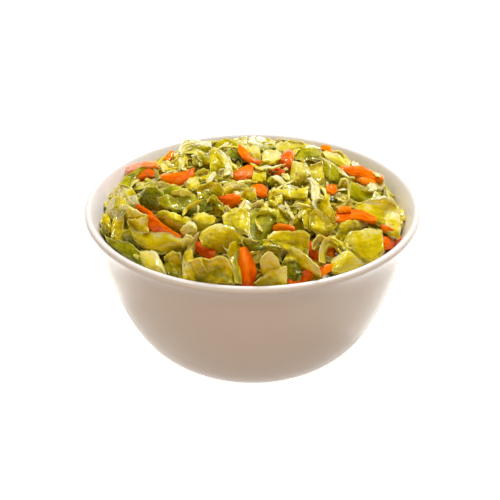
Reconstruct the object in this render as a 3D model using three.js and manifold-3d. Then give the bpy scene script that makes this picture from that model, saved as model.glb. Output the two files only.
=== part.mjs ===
// Coleslaw heaped in a round white bowl with a flared lip.
// Millimetres, +Z up. The origin is the middle of the bowl's foot, on the surface that it stands on.
// Two solids: the bowl, and the heap of slaw, which is a domed core with the shreds that show fused on.

import * as THREE from "three";
import { mergeVertices } from "three/addons/utils/BufferGeometryUtils.js";
import Module from "manifold-3d";

const wasm = await Module();
wasm.setup();

// ---- The bowl ----------------------------------------------------------------------------------

const WALL = 3.5; // thickness of the wall and the lip
const LIP_TIP = [73.25, 67.0]; // middle of the lip's rounded edge: 150 wide and nearly 69 high outside
const NECK = [67.5, 53.7]; // where the wall starts to flare into the lip
const FOOT_TOP = [42, 1.9]; // where the wall leaves the foot
const FOOT_OUTER = 41.5; // the flat ring that the bowl stands on
const FOOT_INNER = 37.3;
const FOOT_BEVEL = 0.8;
const RECESS = 0.8; // hollow of the underside, inside the ring
const FLOOR_HEIGHT = 3.9; // of the inside, above the table
const FLOOR_START = 0.1; // share of the wall's curve where the inside floor ends
const BOWL_SIDES = 48;

const point = ([r, z]) => new THREE.Vector2(r, z);

// The middle of the wall, from the foot to the neck, and of the lip, from the neck to its edge.
const wallLine = new THREE.CubicBezierCurve(
  point(FOOT_TOP), point([54, 9]), point([62.5, 28]), point(NECK),
);
const lipLine = new THREE.CubicBezierCurve(
  point(NECK), point([68.5, 58.8]), point([69.6, 64.2]), point(LIP_TIP),
);

// The point at share t of a curve, moved sideways: outwards where offset is positive.
function beside(curve, t, offset) {
  const along = curve.getTangent(t);
  return curve.getPoint(t).add(new THREE.Vector2(along.y, -along.x).multiplyScalar(offset));
}

function stretch(curve, offset, from, to, count) {
  const points = [];
  for (let i = 0; i <= count; i += 1) {
    points.push(beside(curve, from + ((to - from) * i) / count, offset));
  }
  return points;
}

// Half a circle over the end of the lip, from its outside to its inside.
function lipEdge(count) {
  const along = lipLine.getTangent(1);
  const outwards = Math.atan2(-along.x, along.y);
  const points = [];
  for (let i = 1; i < count; i += 1) {
    const angle = outwards + (Math.PI * i) / count;
    const turn = new THREE.Vector2(Math.cos(angle), Math.sin(angle)).multiplyScalar(WALL / 2);
    points.push(lipLine.getPoint(1).add(turn));
  }
  return points;
}

function bowlProfile() {
  return [
    point([0, RECESS]),
    point([FOOT_INNER - FOOT_BEVEL, RECESS]),
    point([FOOT_INNER, 0]),
    point([FOOT_OUTER, 0]),
    ...stretch(wallLine, WALL / 2, 0, 1, 7),
    ...stretch(lipLine, WALL / 2, 0.3, 1, 3),
    ...lipEdge(6),
    ...stretch(lipLine, -WALL / 2, 1, 0.3, 3),
    ...stretch(wallLine, -WALL / 2, 1, FLOOR_START, 6),
    point([0, FLOOR_HEIGHT]),
  ];
}

function turned(profile, sides) {
  return new THREE.LatheGeometry(profile, sides).rotateX(Math.PI / 2);
}

function makeBowl() {
  const material = new THREE.MeshStandardMaterial({ color: 0xf1ece8, roughness: 0.22, metalness: 0 });
  const bowl = new THREE.Mesh(turned(bowlProfile(), BOWL_SIDES), material);
  bowl.name = "bowl";
  return bowl;
}

// ---- Solids and random draws -------------------------------------------------------------------

// A seeded generator, so that every run makes the same heap.
function seeded(seed) {
  let state = seed;
  return () => {
    state = (state + 0x6d2b79f5) | 0;
    let mixed = Math.imul(state ^ (state >>> 15), 1 | state);
    mixed = (mixed + Math.imul(mixed ^ (mixed >>> 7), 61 | mixed)) ^ mixed;
    return ((mixed ^ (mixed >>> 14)) >>> 0) / 4294967296;
  };
}

const random = seeded(2458);
const between = (low, high) => low + (high - low) * random();
const eitherWay = (most) => between(-most, most);

function toSolid(geometry) {
  geometry.deleteAttribute("normal");
  geometry.deleteAttribute("uv");
  const merged = mergeVertices(geometry, 1e-4);
  const source = merged.index.array;
  const corners = [];
  for (let i = 0; i < source.length; i += 3) {
    const [a, b, c] = [source[i], source[i + 1], source[i + 2]];
    if (a !== b && b !== c && c !== a) corners.push(a, b, c);
  }
  return new wasm.Manifold(new wasm.Mesh({
    numProp: 3,
    vertProperties: merged.attributes.position.array,
    triVerts: new Uint32Array(corners),
  }));
}

function toGeometry(solid) {
  const mesh = solid.getMesh();
  const geometry = new THREE.BufferGeometry();
  geometry.setAttribute("position", new THREE.BufferAttribute(mesh.vertProperties, 3));
  geometry.setIndex(new THREE.BufferAttribute(mesh.triVerts, 1));
  geometry.computeVertexNormals();
  return geometry;
}

// ---- The heap's core ---------------------------------------------------------------------------

const CLEARANCE = 0.6; // between the slaw and the bowl
const HEAP_EDGE = 62; // height where the core meets the wall
const HEAP_RISE = 18.5; // of the core's dome above its edge
const DOME_POWER = 3; // a flat top with steeper shoulders
const CORE_SIDES = 32;
const CORE_RINGS = 7;
const BUMP = 1.3; // unevenness of the dome
const BUMP_LENGTH = 3.4; // millimetres to a radian of its waves

// Radius of the bowl's inner wall at a height, less the clearance. Nothing hangs over the lip.
function roomAt(height) {
  const inset = -(WALL / 2 + CLEARANCE);
  if (height >= LIP_TIP[1]) return LIP_TIP[0] + inset;
  const curve = height > NECK[1] ? lipLine : wallLine;
  let [low, high] = [0, 1];
  for (let i = 0; i < 24; i += 1) {
    const middle = (low + high) / 2;
    if (beside(curve, middle, inset).y < height) low = middle;
    else high = middle;
  }
  return beside(curve, low, inset).x;
}

const HEAP_RADIUS = roomAt(HEAP_EDGE);

function unevenness(x, y) {
  const [u, v] = [x / BUMP_LENGTH, y / BUMP_LENGTH];
  return BUMP * Math.sin(u + 0.8 * Math.sin(v * 0.7)) * Math.cos(0.9 * v - 0.5 * u);
}

// Height of the core's surface over a place in plan.
function domeHeight(x, y) {
  const share = Math.min(1, Math.hypot(x, y) / HEAP_RADIUS);
  return HEAP_EDGE + HEAP_RISE * (1 - share ** DOME_POWER) + unevenness(x, y) * (1 - share ** 6);
}

function domeNormal(x, y) {
  const step = 6;
  const slopeX = (domeHeight(x + step, y) - domeHeight(x - step, y)) / (2 * step);
  const slopeY = (domeHeight(x, y + step) - domeHeight(x, y - step)) / (2 * step);
  return new THREE.Vector3(-slopeX, -slopeY, 1).normalize();
}

function makeCore() {
  const inset = -(WALL / 2 + CLEARANCE);
  const profile = [
    point([0, FLOOR_HEIGHT + CLEARANCE]),
    ...stretch(wallLine, inset, FLOOR_START + 0.02, 1, 6),
    point([HEAP_RADIUS, HEAP_EDGE]),
  ];
  for (let ring = 1; ring <= CORE_RINGS; ring += 1) {
    const share = 1 - ring / CORE_RINGS;
    profile.push(point([HEAP_RADIUS * share, HEAP_EDGE + HEAP_RISE * (1 - share ** DOME_POWER)]));
  }
  const geometry = turned(profile, CORE_SIDES);
  const place = geometry.attributes.position;
  for (let i = 0; i < place.count; i += 1) {
    const [x, y, z] = [place.getX(i), place.getY(i), place.getZ(i)];
    if (z > HEAP_EDGE + 0.01) place.setZ(i, domeHeight(x, y));
  }
  return toSolid(geometry);
}

// ---- Shreds ------------------------------------------------------------------------------------

// A thin closed sheet from its middle surface. Both faces are split into triangles alike.
function sheet(surface, length, width, thickness, steps, strips) {
  const row = strips + 1;
  const faces = [[], []];
  const place = new THREE.Vector3();
  for (let i = 0; i <= steps; i += 1) {
    for (let j = 0; j <= strips; j += 1) {
      const [s, t] = [i / steps - 0.5, j / strips - 0.5];
      const here = surface(s * length, t * width);
      const alongS = surface(s * length + 0.05, t * width).sub(here);
      const alongT = surface(s * length, t * width + 0.05).sub(here);
      const normal = alongS.cross(alongT).normalize();
      faces[0].push(place.copy(here).addScaledVector(normal, thickness / 2).toArray());
      faces[1].push(place.copy(here).addScaledVector(normal, -thickness / 2).toArray());
    }
  }
  const under = faces[0].length;
  const corners = [];
  const quad = (a, b, c, d) => corners.push(a, b, c, a, c, d);
  for (let i = 0; i < steps; i += 1) {
    for (let j = 0; j < strips; j += 1) {
      const a = i * row + j;
      quad(a, a + row, a + row + 1, a + 1);
      corners.push(under + a, under + a + row + 1, under + a + row);
      corners.push(under + a, under + a + 1, under + a + row + 1);
    }
    const [left, right] = [i * row, i * row + strips];
    quad(under + left, under + left + row, left + row, left);
    quad(right, right + row, under + right + row, under + right);
  }
  for (let j = 0; j < strips; j += 1) {
    const last = steps * row + j;
    quad(j, j + 1, under + j + 1, under + j);
    quad(last + 1, last, under + last, under + last + 1);
  }
  const geometry = new THREE.BufferGeometry();
  const coordinates = new Float32Array([...faces[0], ...faces[1]].flat());
  geometry.setAttribute("position", new THREE.BufferAttribute(coordinates, 3));
  geometry.setIndex(corners);
  return geometry;
}

// The middle surface of a cut leaf: it arches, its edges ruffle, it cups across and it twists.
function leafSurface({ length, width, arch, ruffle, waves, cup, twist, sway }) {
  const phase = between(0, 2 * Math.PI);
  return (s, t) => {
    const [along, across] = [s / length, (2 * t) / width];
    const lift = arch * Math.cos(Math.PI * along) + cup * across * across;
    const edge = ruffle * Math.sin(2 * Math.PI * waves * along + phase) * across;
    const roll = twist * along;
    const [side, high] = [t * Math.cos(roll), t * Math.sin(roll)];
    return new THREE.Vector3(s, side + sway * Math.sin(Math.PI * along), high + lift + edge);
  };
}

const LEAF = { count: 24, length: [20, 34], width: [8, 13], thickness: 1.0, steps: 5, strips: 2 };
const SHRED = { count: 20, length: [16, 28], width: [3.2, 5], thickness: 1.6, steps: 4, strips: 1 };
const STICK = { count: 16, length: [14, 22], width: [3.8, 4.8], steps: 3 };

function leaf() {
  const [length, width] = [between(...LEAF.length), between(...LEAF.width)];
  const shape = {
    length, width, arch: between(1, 4), ruffle: between(0.8, 2.2), waves: between(0.8, 1.8),
    cup: eitherWay(1.6), twist: eitherWay(1.1), sway: eitherWay(3),
  };
  return sheet(leafSurface(shape), length, width, LEAF.thickness, LEAF.steps, LEAF.strips);
}

function shred() {
  const [length, width] = [between(...SHRED.length), between(...SHRED.width)];
  const shape = {
    length, width, arch: between(0.8, 3), ruffle: 0, waves: 1,
    cup: 0, twist: eitherWay(1.4), sway: eitherWay(4),
  };
  return sheet(leafSurface(shape), length, width, SHRED.thickness, SHRED.steps, SHRED.strips);
}

// A carrot stick: four-sided, slightly bent, with both ends cut to a slant.
function stick() {
  const [length, width] = [between(...STICK.length), between(...STICK.width)];
  const [bend, slant] = [eitherWay(1.5), between(0.3, 0.7)];
  const coordinates = [];
  for (let i = 0; i <= STICK.steps; i += 1) {
    const along = i / STICK.steps - 0.5;
    const full = Math.abs(along) > 0.4 ? 0.45 : 1;
    for (const [side, high] of [[-1, -1], [1, -1], [1, 1], [-1, 1]]) {
      const end = Math.abs(along) > 0.4 ? side * slant * width * 0.5 : 0;
      coordinates.push(
        along * length + end,
        side * full * width * 0.5 + bend * Math.cos(Math.PI * along),
        high * full * width * 0.4,
      );
    }
  }
  const corners = [0, 2, 1, 0, 3, 2];
  for (let i = 0; i < STICK.steps; i += 1) {
    for (let side = 0; side < 4; side += 1) {
      const [a, b] = [i * 4 + side, i * 4 + ((side + 1) % 4)];
      corners.push(a, b, b + 4, a, b + 4, a + 4);
    }
  }
  const last = STICK.steps * 4;
  corners.push(last, last + 1, last + 2, last, last + 2, last + 3);
  const geometry = new THREE.BufferGeometry();
  geometry.setAttribute("position", new THREE.BufferAttribute(new Float32Array(coordinates), 3));
  geometry.setIndex(corners);
  return geometry;
}

// ---- Laying the shreds on the core -------------------------------------------------------------

const GOLDEN_ANGLE = Math.PI * (3 - Math.sqrt(5));
const ALONG_WALL = 0.74; // share of the heap's radius past which pieces lie along the wall
const RING_COUNT = 11; // leaves that lie in a ring along the wall
const RING_REACH = 0.9; // of that ring, as a share of the heap's radius
const MOVES = 16; // tries at bringing a piece clear of the bowl
const MOVE = 0.7; // towards the middle at each try

// Evenly spread places over the dome, as a sunflower's seeds lie, each a little off its spot.
function spots(count, turn, reach) {
  const found = [];
  for (let i = 0; i < count; i += 1) {
    const radius = reach * HEAP_RADIUS * Math.sqrt((i + 0.5) / count) + eitherWay(1.5);
    const angle = i * GOLDEN_ANGLE + turn;
    found.push([radius * Math.cos(angle), radius * Math.sin(angle)]);
  }
  return found;
}

function ringSpots() {
  const found = [];
  for (let i = 0; i < RING_COUNT; i += 1) {
    const angle = ((i + eitherWay(0.2)) * 2 * Math.PI) / RING_COUNT;
    const radius = RING_REACH * HEAP_RADIUS;
    found.push([radius * Math.cos(angle), radius * Math.sin(angle)]);
  }
  return found;
}

// The way a piece points: anywhere on the heap, and along the wall close to it.
function headingAt([x, y]) {
  if (Math.hypot(x, y) < ALONG_WALL * HEAP_RADIUS) return between(0, 2 * Math.PI);
  return Math.atan2(y, x) + Math.PI / 2 + eitherWay(0.45);
}

// Turns a piece to its heading and lean, and sets it on the dome at a place in plan.
function settle(geometry, [x, y], lean, sink) {
  const normal = domeNormal(x, y);
  const upright = new THREE.Quaternion().setFromUnitVectors(new THREE.Vector3(0, 0, 1), normal);
  const heading = new THREE.Quaternion().setFromAxisAngle(
    new THREE.Vector3(0, 0, 1), headingAt([x, y]),
  );
  const roll = new THREE.Quaternion().setFromAxisAngle(new THREE.Vector3(1, 0, 0), lean);
  const pitch = new THREE.Quaternion().setFromAxisAngle(new THREE.Vector3(0, 1, 0), eitherWay(0.25));
  geometry.applyQuaternion(upright.multiply(heading).multiply(pitch).multiply(roll));
  geometry.translate(x, y, domeHeight(x, y) - sink);
  return geometry;
}

function isClear(geometry) {
  const place = geometry.attributes.position;
  for (let i = 0; i < place.count; i += 1) {
    const reach = Math.hypot(place.getX(i), place.getY(i));
    if (reach > roomAt(place.getZ(i))) return false;
  }
  return true;
}

// Moves a piece towards the middle, up the dome's slope, until it is clear of the bowl.
function bringClear(geometry, [x, y]) {
  const radius = Math.hypot(x, y);
  let place = [x, y];
  for (let i = 0; i < MOVES; i += 1) {
    if (isClear(geometry)) return geometry;
    const share = (radius - (i + 1) * MOVE) / radius;
    const next = [x * share, y * share];
    const rise = domeHeight(...next) - domeHeight(...place);
    geometry.translate(next[0] - place[0], next[1] - place[1], rise);
    place = next;
  }
  return isClear(geometry) ? geometry : null;
}

function layer(make, places, lean, sink) {
  const laid = [];
  for (const spot of places) {
    const piece = bringClear(settle(make(), spot, eitherWay(lean), sink), spot);
    if (piece) laid.push(toSolid(piece));
  }
  return laid;
}

// Joins everything, fills what the joining sealed and drops loose scraps.
function fuse(solids) {
  const joined = wasm.Manifold.union(solids).simplify(0.02);
  const bodies = joined.decompose().sort((a, b) => b.volume() - a.volume());
  return bodies[0];
}

function makeSlaw() {
  const solids = [
    makeCore(),
    ...layer(leaf, ringSpots(), 0.5, 0.2),
    ...layer(leaf, spots(LEAF.count, 0, 0.84), 0.75, 0.2),
    ...layer(shred, spots(SHRED.count, 1.1, 1), 0.9, 0.1),
    ...layer(stick, spots(STICK.count, 2.3, 0.97), 0.5, -0.9),
  ];
  const material = new THREE.MeshStandardMaterial({ color: 0xb9b24a, roughness: 0.4, metalness: 0 });
  const slaw = new THREE.Mesh(toGeometry(fuse(solids)), material);
  slaw.name = "coleslaw";
  return slaw;
}

const coleslaw = new THREE.Group();
coleslaw.add(makeBowl(), makeSlaw());

export default coleslaw;
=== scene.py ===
"""Coleslaw heaped in a round white bowl with a flared lip."""

import math

import bpy
import numpy as np
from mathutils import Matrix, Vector


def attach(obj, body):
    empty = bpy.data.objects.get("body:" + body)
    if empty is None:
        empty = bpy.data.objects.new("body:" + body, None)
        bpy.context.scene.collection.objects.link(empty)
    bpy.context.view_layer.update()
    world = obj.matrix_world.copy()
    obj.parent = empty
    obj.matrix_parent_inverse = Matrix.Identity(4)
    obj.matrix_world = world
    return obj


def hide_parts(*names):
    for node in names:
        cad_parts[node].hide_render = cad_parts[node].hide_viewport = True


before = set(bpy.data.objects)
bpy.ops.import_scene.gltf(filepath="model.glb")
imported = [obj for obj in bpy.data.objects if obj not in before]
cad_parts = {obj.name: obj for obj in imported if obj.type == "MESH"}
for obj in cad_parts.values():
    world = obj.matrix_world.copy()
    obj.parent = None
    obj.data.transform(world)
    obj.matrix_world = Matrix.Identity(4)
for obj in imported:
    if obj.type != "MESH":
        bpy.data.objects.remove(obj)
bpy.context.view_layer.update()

MM = 0.001
SEED = 731
draw = np.random.default_rng(SEED)
TURN = 2 * math.pi
ANY_PHASE = 6.3  # a wave starts anywhere between 0 and this
TINY = 1e-6  # keeps a division clear of nothing


# ---- The bowl's section, in millimetres: distance from the axis, and height ----------------------

WALL = 3.5  # thickness of the wall and the lip
LIP_TIP = (73.25, 67.0)  # middle of the lip's rounded edge
NECK = (67.5, 53.7)  # where the wall starts to flare into the lip
FOOT_TOP = (42.0, 1.9)  # where the wall leaves the foot
FOOT_OUTER = 41.5  # the flat ring that the bowl stands on
FOOT_INNER = 37.3
FOOT_BEVEL = 0.8
FOOT_EASE = 0.3  # softness of the ring's inner edge
FOOT_EASE_HEIGHT = 0.15
RING_INNER_GAP = 0.2  # the ring's flat stops this far from its edges
RING_OUTER_GAP = 0.5
RECESS = 0.8  # hollow of the underside, inside the ring
RECESS_GAP = 2.4  # from the ring to the flat of the hollow
FLOOR_HEIGHT = 3.9  # of the inside, above the table
FLOOR_GAP = 6  # from the foot's outer edge in to the flat of the floor
FLOOR_START = 0.1  # share of the wall's curve where the inside floor ends
LIP_START = 0.12  # share of the lip's curve where its first ring lies
BOWL_SIDES = 96
WALL_RINGS = 18
INNER_RINGS = 16
LIP_RINGS = 9
EDGE_RINGS = 8

WALL_LINE = (FOOT_TOP, (54.0, 9.0), (62.5, 28.0), NECK)
LIP_LINE = (NECK, (68.5, 58.2), (70.1, 63.2), LIP_TIP)


def on_curve(line, t):
    a, b, c, d = (np.array(p) for p in line)
    s = 1 - t
    return s**3 * a + 3 * s * s * t * b + 3 * s * t * t * c + t**3 * d


def along_curve(line, t):
    a, b, c, d = (np.array(p) for p in line)
    s = 1 - t
    slope = s * s * (b - a) + 2 * s * t * (c - b) + t * t * (d - c)
    return slope / np.linalg.norm(slope)


def beside(line, t, offset):
    """The point at share t of a curve, moved outwards by offset."""
    ahead = along_curve(line, t)
    return on_curve(line, t) + offset * np.array([ahead[1], -ahead[0]])


def stretch(line, offset, start, end, count):
    return [tuple(beside(line, t, offset)) for t in np.linspace(start, end, count + 1)]


def lip_edge(count):
    """Half a circle over the end of the lip, from its outside to its inside."""
    ahead = along_curve(LIP_LINE, 1)
    outwards = math.atan2(-ahead[0], ahead[1])
    points = []
    for i in range(1, count):
        angle = outwards + math.pi * i / count
        radius = LIP_TIP[0] + WALL / 2 * math.cos(angle)
        height = LIP_TIP[1] + WALL / 2 * math.sin(angle)
        points.append((radius, height))
    return points


def bowl_section():
    """From the middle of the underside, round the foot, the wall and the lip, to the inside floor."""
    return [
        (FOOT_INNER - RECESS_GAP, RECESS),
        (FOOT_INNER - FOOT_BEVEL - FOOT_EASE, RECESS),
        (FOOT_INNER - FOOT_EASE, FOOT_EASE_HEIGHT),
        (FOOT_INNER + RING_INNER_GAP, 0.0),
        (FOOT_OUTER - RING_OUTER_GAP, 0.0),
        *stretch(WALL_LINE, WALL / 2, 0, 1, WALL_RINGS),
        *stretch(LIP_LINE, WALL / 2, LIP_START, 1, LIP_RINGS),
        *lip_edge(EDGE_RINGS),
        *stretch(LIP_LINE, -WALL / 2, 1, LIP_START, LIP_RINGS),
        *stretch(WALL_LINE, -WALL / 2, 1, FLOOR_START, INNER_RINGS),
        (FOOT_OUTER - FLOOR_GAP, FLOOR_HEIGHT),
    ]


CLEARANCE = 0.5  # between the slaw and the bowl
INSIDE = np.array(
    stretch(WALL_LINE, -WALL / 2 - CLEARANCE, FLOOR_START, 1, 30)
    + stretch(LIP_LINE, -WALL / 2 - CLEARANCE, 0.1, 1, 20)
)


def room_at(height):
    """Distance from the axis to the inside of the wall. Nothing hangs over the lip."""
    return np.interp(height, INSIDE[:, 1], INSIDE[:, 0])


# ---- Making round things ring by ring ------------------------------------------------------------

def start_fresh():
    if bpy.context.object and bpy.context.object.mode != "OBJECT":
        bpy.ops.object.mode_set(mode="OBJECT")
    bpy.ops.object.select_all(action="DESELECT")


def turn_from_rings(name, section, sides):
    """A closed round solid: a disc, drawn out ring by ring, and closed at the last ring."""
    start_fresh()
    radius, height = section[0]
    bpy.ops.mesh.primitive_circle_add(
        vertices=sides, radius=radius * MM, location=(0, 0, height * MM), fill_type="NGON"
    )
    solid = bpy.context.object
    solid.name = name
    bpy.ops.object.transform_apply(location=True, rotation=True, scale=True)
    bpy.ops.object.mode_set(mode="EDIT")
    bpy.ops.mesh.select_mode(type="EDGE")
    bpy.ops.mesh.select_all(action="SELECT")
    for next_radius, next_height in section[1:]:
        bpy.ops.mesh.extrude_edges_move()
        widen = next_radius / radius
        bpy.ops.transform.resize(value=(widen, widen, 1), center_override=(0, 0, 0))
        bpy.ops.transform.translate(value=(0, 0, (next_height - height) * MM))
        radius, height = next_radius, next_height
    bpy.ops.mesh.edge_face_add()
    bpy.ops.mesh.select_all(action="SELECT")
    bpy.ops.mesh.normals_make_consistent(inside=False)
    bpy.ops.object.mode_set(mode="OBJECT")
    bpy.ops.object.shade_smooth()
    return solid


def make_bowl():
    bowl = turn_from_rings("round_bowl", bowl_section(), BOWL_SIDES)
    rounding = bowl.modifiers.new("rounding", "SUBSURF")
    rounding.levels = 1
    rounding.render_levels = 1
    bpy.ops.object.modifier_apply(modifier=rounding.name)
    bowl.data.materials.append(white_glaze())
    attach(bowl, "root")
    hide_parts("bowl")


# ---- The heap ------------------------------------------------------------------------------------

HEAP_EDGE = 61.0  # height of the finished heap at the wall
HEAP_RISE = 22.0  # of its dome above that
DOME_POWER = 3.0  # a flat top with steeper shoulders
HEAP_RADIUS = float(room_at(HEAP_EDGE))
HIGHEST = 88.5  # nothing stands above this
SLOPE_STEP = 4.0  # the slope is felt over this much to each side

CORE_DEPTH = 8.0  # of the core's surface, below the finished heap
CORE_EDGE_DEPTH = 0.6  # of that, at the wall
CORE_RIM_DEPTH = 3  # its lumps start this far below the heap's edge
CORE_LUMP = 2.2  # height of its lumps
CORE_LUMP_SIZE = 7.0
CORE_FOOT_GAP = 8  # from the bowl's foot in to the core's flat underside
CORE_START = 3.0  # height of its first ring above the bowl's floor
CORE_SIDES = 72
CORE_WALL_RINGS = 9
CORE_TOP_SHARES = (0.96, 0.06, 16)  # outermost and innermost ring of its top, and how many


def dome(x, y):
    """The finished heap's mean surface."""
    share = np.minimum(1, np.hypot(x, y) / HEAP_RADIUS)
    return HEAP_EDGE + HEAP_RISE * (1 - share**DOME_POWER)


def dome_normal(x, y):
    step = SLOPE_STEP
    slope_x = (dome(x + step, y) - dome(x - step, y)) / (2 * step)
    slope_y = (dome(x, y + step) - dome(x, y - step)) / (2 * step)
    normal = np.array([-slope_x, -slope_y, 1.0])
    return normal / np.linalg.norm(normal)


def core_section():
    section = [(FOOT_OUTER - CORE_FOOT_GAP, FLOOR_HEIGHT + CLEARANCE)]
    edge = HEAP_EDGE - CORE_DEPTH * CORE_EDGE_DEPTH
    for height in np.linspace(FLOOR_HEIGHT + CORE_START, edge, CORE_WALL_RINGS):
        section.append((float(room_at(height)), float(height)))
    widest = section[-1][0]
    for share in np.linspace(*CORE_TOP_SHARES):
        section.append((widest * share, float(dome(widest * share, 0) - CORE_DEPTH)))
    return section


def make_core():
    """The dense middle of the heap, seen only in the gaps between the shreds, and coloured darker than
    the leaves: painted shade of the gaps.
    """
    core = turn_from_rings("slaw_core", core_section(), CORE_SIDES)
    lumps = bpy.data.textures.new("core lumps", "CLOUDS")
    lumps.noise_scale = CORE_LUMP_SIZE * MM
    rough = core.modifiers.new("lumps", "DISPLACE")
    rough.texture = lumps
    rough.texture_coords = "LOCAL"
    rough.direction = "Z"
    rough.strength = CORE_LUMP * MM
    rough.mid_level = 0.5
    top = core.vertex_groups.new(name="top")
    upper = [v.index for v in core.data.vertices if v.co.z > (HEAP_EDGE - CORE_RIM_DEPTH) * MM]
    top.add(upper, 1.0, "REPLACE")
    rough.vertex_group = top.name
    bpy.ops.object.modifier_apply(modifier=rough.name)
    core.vertex_groups.clear()
    core.data.materials.append(shaded_core_finish())
    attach(core, "root")
    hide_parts("coleslaw")


GRID_STEP = 0.5
GRID_HALF = 74.0


class Heap:
    """How high the slaw stands at each place in plan, as pieces are laid on it."""

    def __init__(self):
        axis = np.arange(-GRID_HALF, GRID_HALF + GRID_STEP, GRID_STEP)
        self.size = len(axis)
        x, y = np.meshgrid(axis, axis, indexing="ij")
        self.top = dome(x, y) - CORE_DEPTH

    def cell(self, x, y):
        i = np.clip(np.rint((x + GRID_HALF) / GRID_STEP).astype(int), 0, self.size - 1)
        j = np.clip(np.rint((y + GRID_HALF) / GRID_STEP).astype(int), 0, self.size - 1)
        return i, j

    def at(self, x, y):
        return self.top[self.cell(x, y)]

    def cover(self, sheet):
        """Raises the surface to a laid sheet, a grid of points."""
        fine = finer(finer(finer(sheet)))
        spots = fine.reshape(-1, 3)
        np.maximum.at(self.top, self.cell(spots[:, 0], spots[:, 1]), spots[:, 2])

    def smooth(self, reach):
        """The surface as a broad hand would feel it: the high places, evened out."""
        cells = int(reach / GRID_STEP)
        high = self.top.copy()
        for axis in (0, 1):
            rows = [np.roll(high, shift, axis) for shift in range(-cells, cells + 1, 2)]
            high = np.max(rows, axis=0)
        for axis in (0, 1, 0, 1):
            rows = [np.roll(high, shift, axis) for shift in range(-cells, cells + 1)]
            high = np.mean(rows, axis=0)
        return high


def finer(sheet):
    """A grid of points with one more halfway between each two."""
    for axis in (0, 1):
        first = np.moveaxis(sheet, axis, 0)
        middle = (first[1:] + first[:-1]) / 2
        rows = np.empty((len(first) + len(middle), *first.shape[1:]))
        rows[0::2] = first
        rows[1::2] = middle
        sheet = np.moveaxis(rows, 0, axis)
    return sheet


# ---- Shapes of the cut vegetables ----------------------------------------------------------------

WANDER_WAVE = 0.7  # waves of the slowest wander, along a whole piece
WANDER_GAIN = 1.5
SWINGS = (0.6, 1.4)  # that a leaf makes along its length
RIGHT_WAVES = (0.7, 1.2)  # of a leaf's right edge, as a share of the left edge's
SWAY_START = (-0.6, 0.6)
DENT_WAVES = 6  # that cross in a crumpled leaf
DENT_MIDDLE = 0.6  # keeps as much above the leaf as below it
DENT_SOFTNESS = 0.01
DENT_GAIN = 3
DENT_SIZES = (0.6, 1.8)  # their lengths, as shares of the one asked for
CREASE_PLACES = (0.25, 0.75)  # where a crease may run, as a share of the leaf
CREASE_SLOPES = (0.6, 1.6)
CREASE_SOFTNESS = (0.1, 0.6)  # radius of a crease, in millimetres
RAGGED = 0.14  # how far a leaf's width wanders, as a share of it
BLUNT_END = 0.72  # width at the very ends, as a share of the whole
END_SLOPE = 3.5  # how fast the ends reach their full width
RUFFLE_POWER = 1.6  # keeps the ruffle near the edges
RUFFLE_WAVES = (1.2, 2.8)
DENT_LENGTH = 6.0  # of the waves in a crumpled leaf, in millimetres


def uneven(t, amount):
    """A wandering value along t, from 0 to 1."""
    total = np.zeros_like(t)
    for wave in (1, 2, 3):
        turns = 2 * math.pi * wave * WANDER_WAVE
        total += np.sin(turns * t + draw.uniform(0, ANY_PHASE)) / wave
    return amount * total / WANDER_GAIN


def crumpled(along, across, wave, depth):
    """Low creases and dents at places given in millimetres, from a few crossing waves."""
    height = np.zeros_like(along)
    for _ in range(DENT_WAVES):
        heading = draw.uniform(0, TURN)
        turns = TURN / (wave * draw.uniform(*DENT_SIZES))
        place = along * math.cos(heading) + across * math.sin(heading)
        swell = np.sin(turns * place + draw.uniform(0, ANY_PHASE))
        dent = DENT_MIDDLE - np.sqrt(swell**2 + DENT_SOFTNESS)
        height += dent * draw.choice([-1, 1]) / DENT_WAVES
    return depth * DENT_GAIN * height


def creased(along, across, count):
    """A leaf bent over a few crisp creases, at places given in millimetres."""
    height = np.zeros_like(along)
    for _ in range(count):
        heading = draw.uniform(0, math.pi)
        place = along * math.cos(heading) + across * math.sin(heading)
        away = place - draw.uniform(*CREASE_PLACES) * (place.max() - place.min()) - place.min()
        slope = draw.choice([-1, 1]) * draw.uniform(*CREASE_SLOPES)
        softness = draw.uniform(*CREASE_SOFTNESS)
        height += slope * np.sqrt(away**2 + softness**2)
    return height - height.mean()


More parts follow.
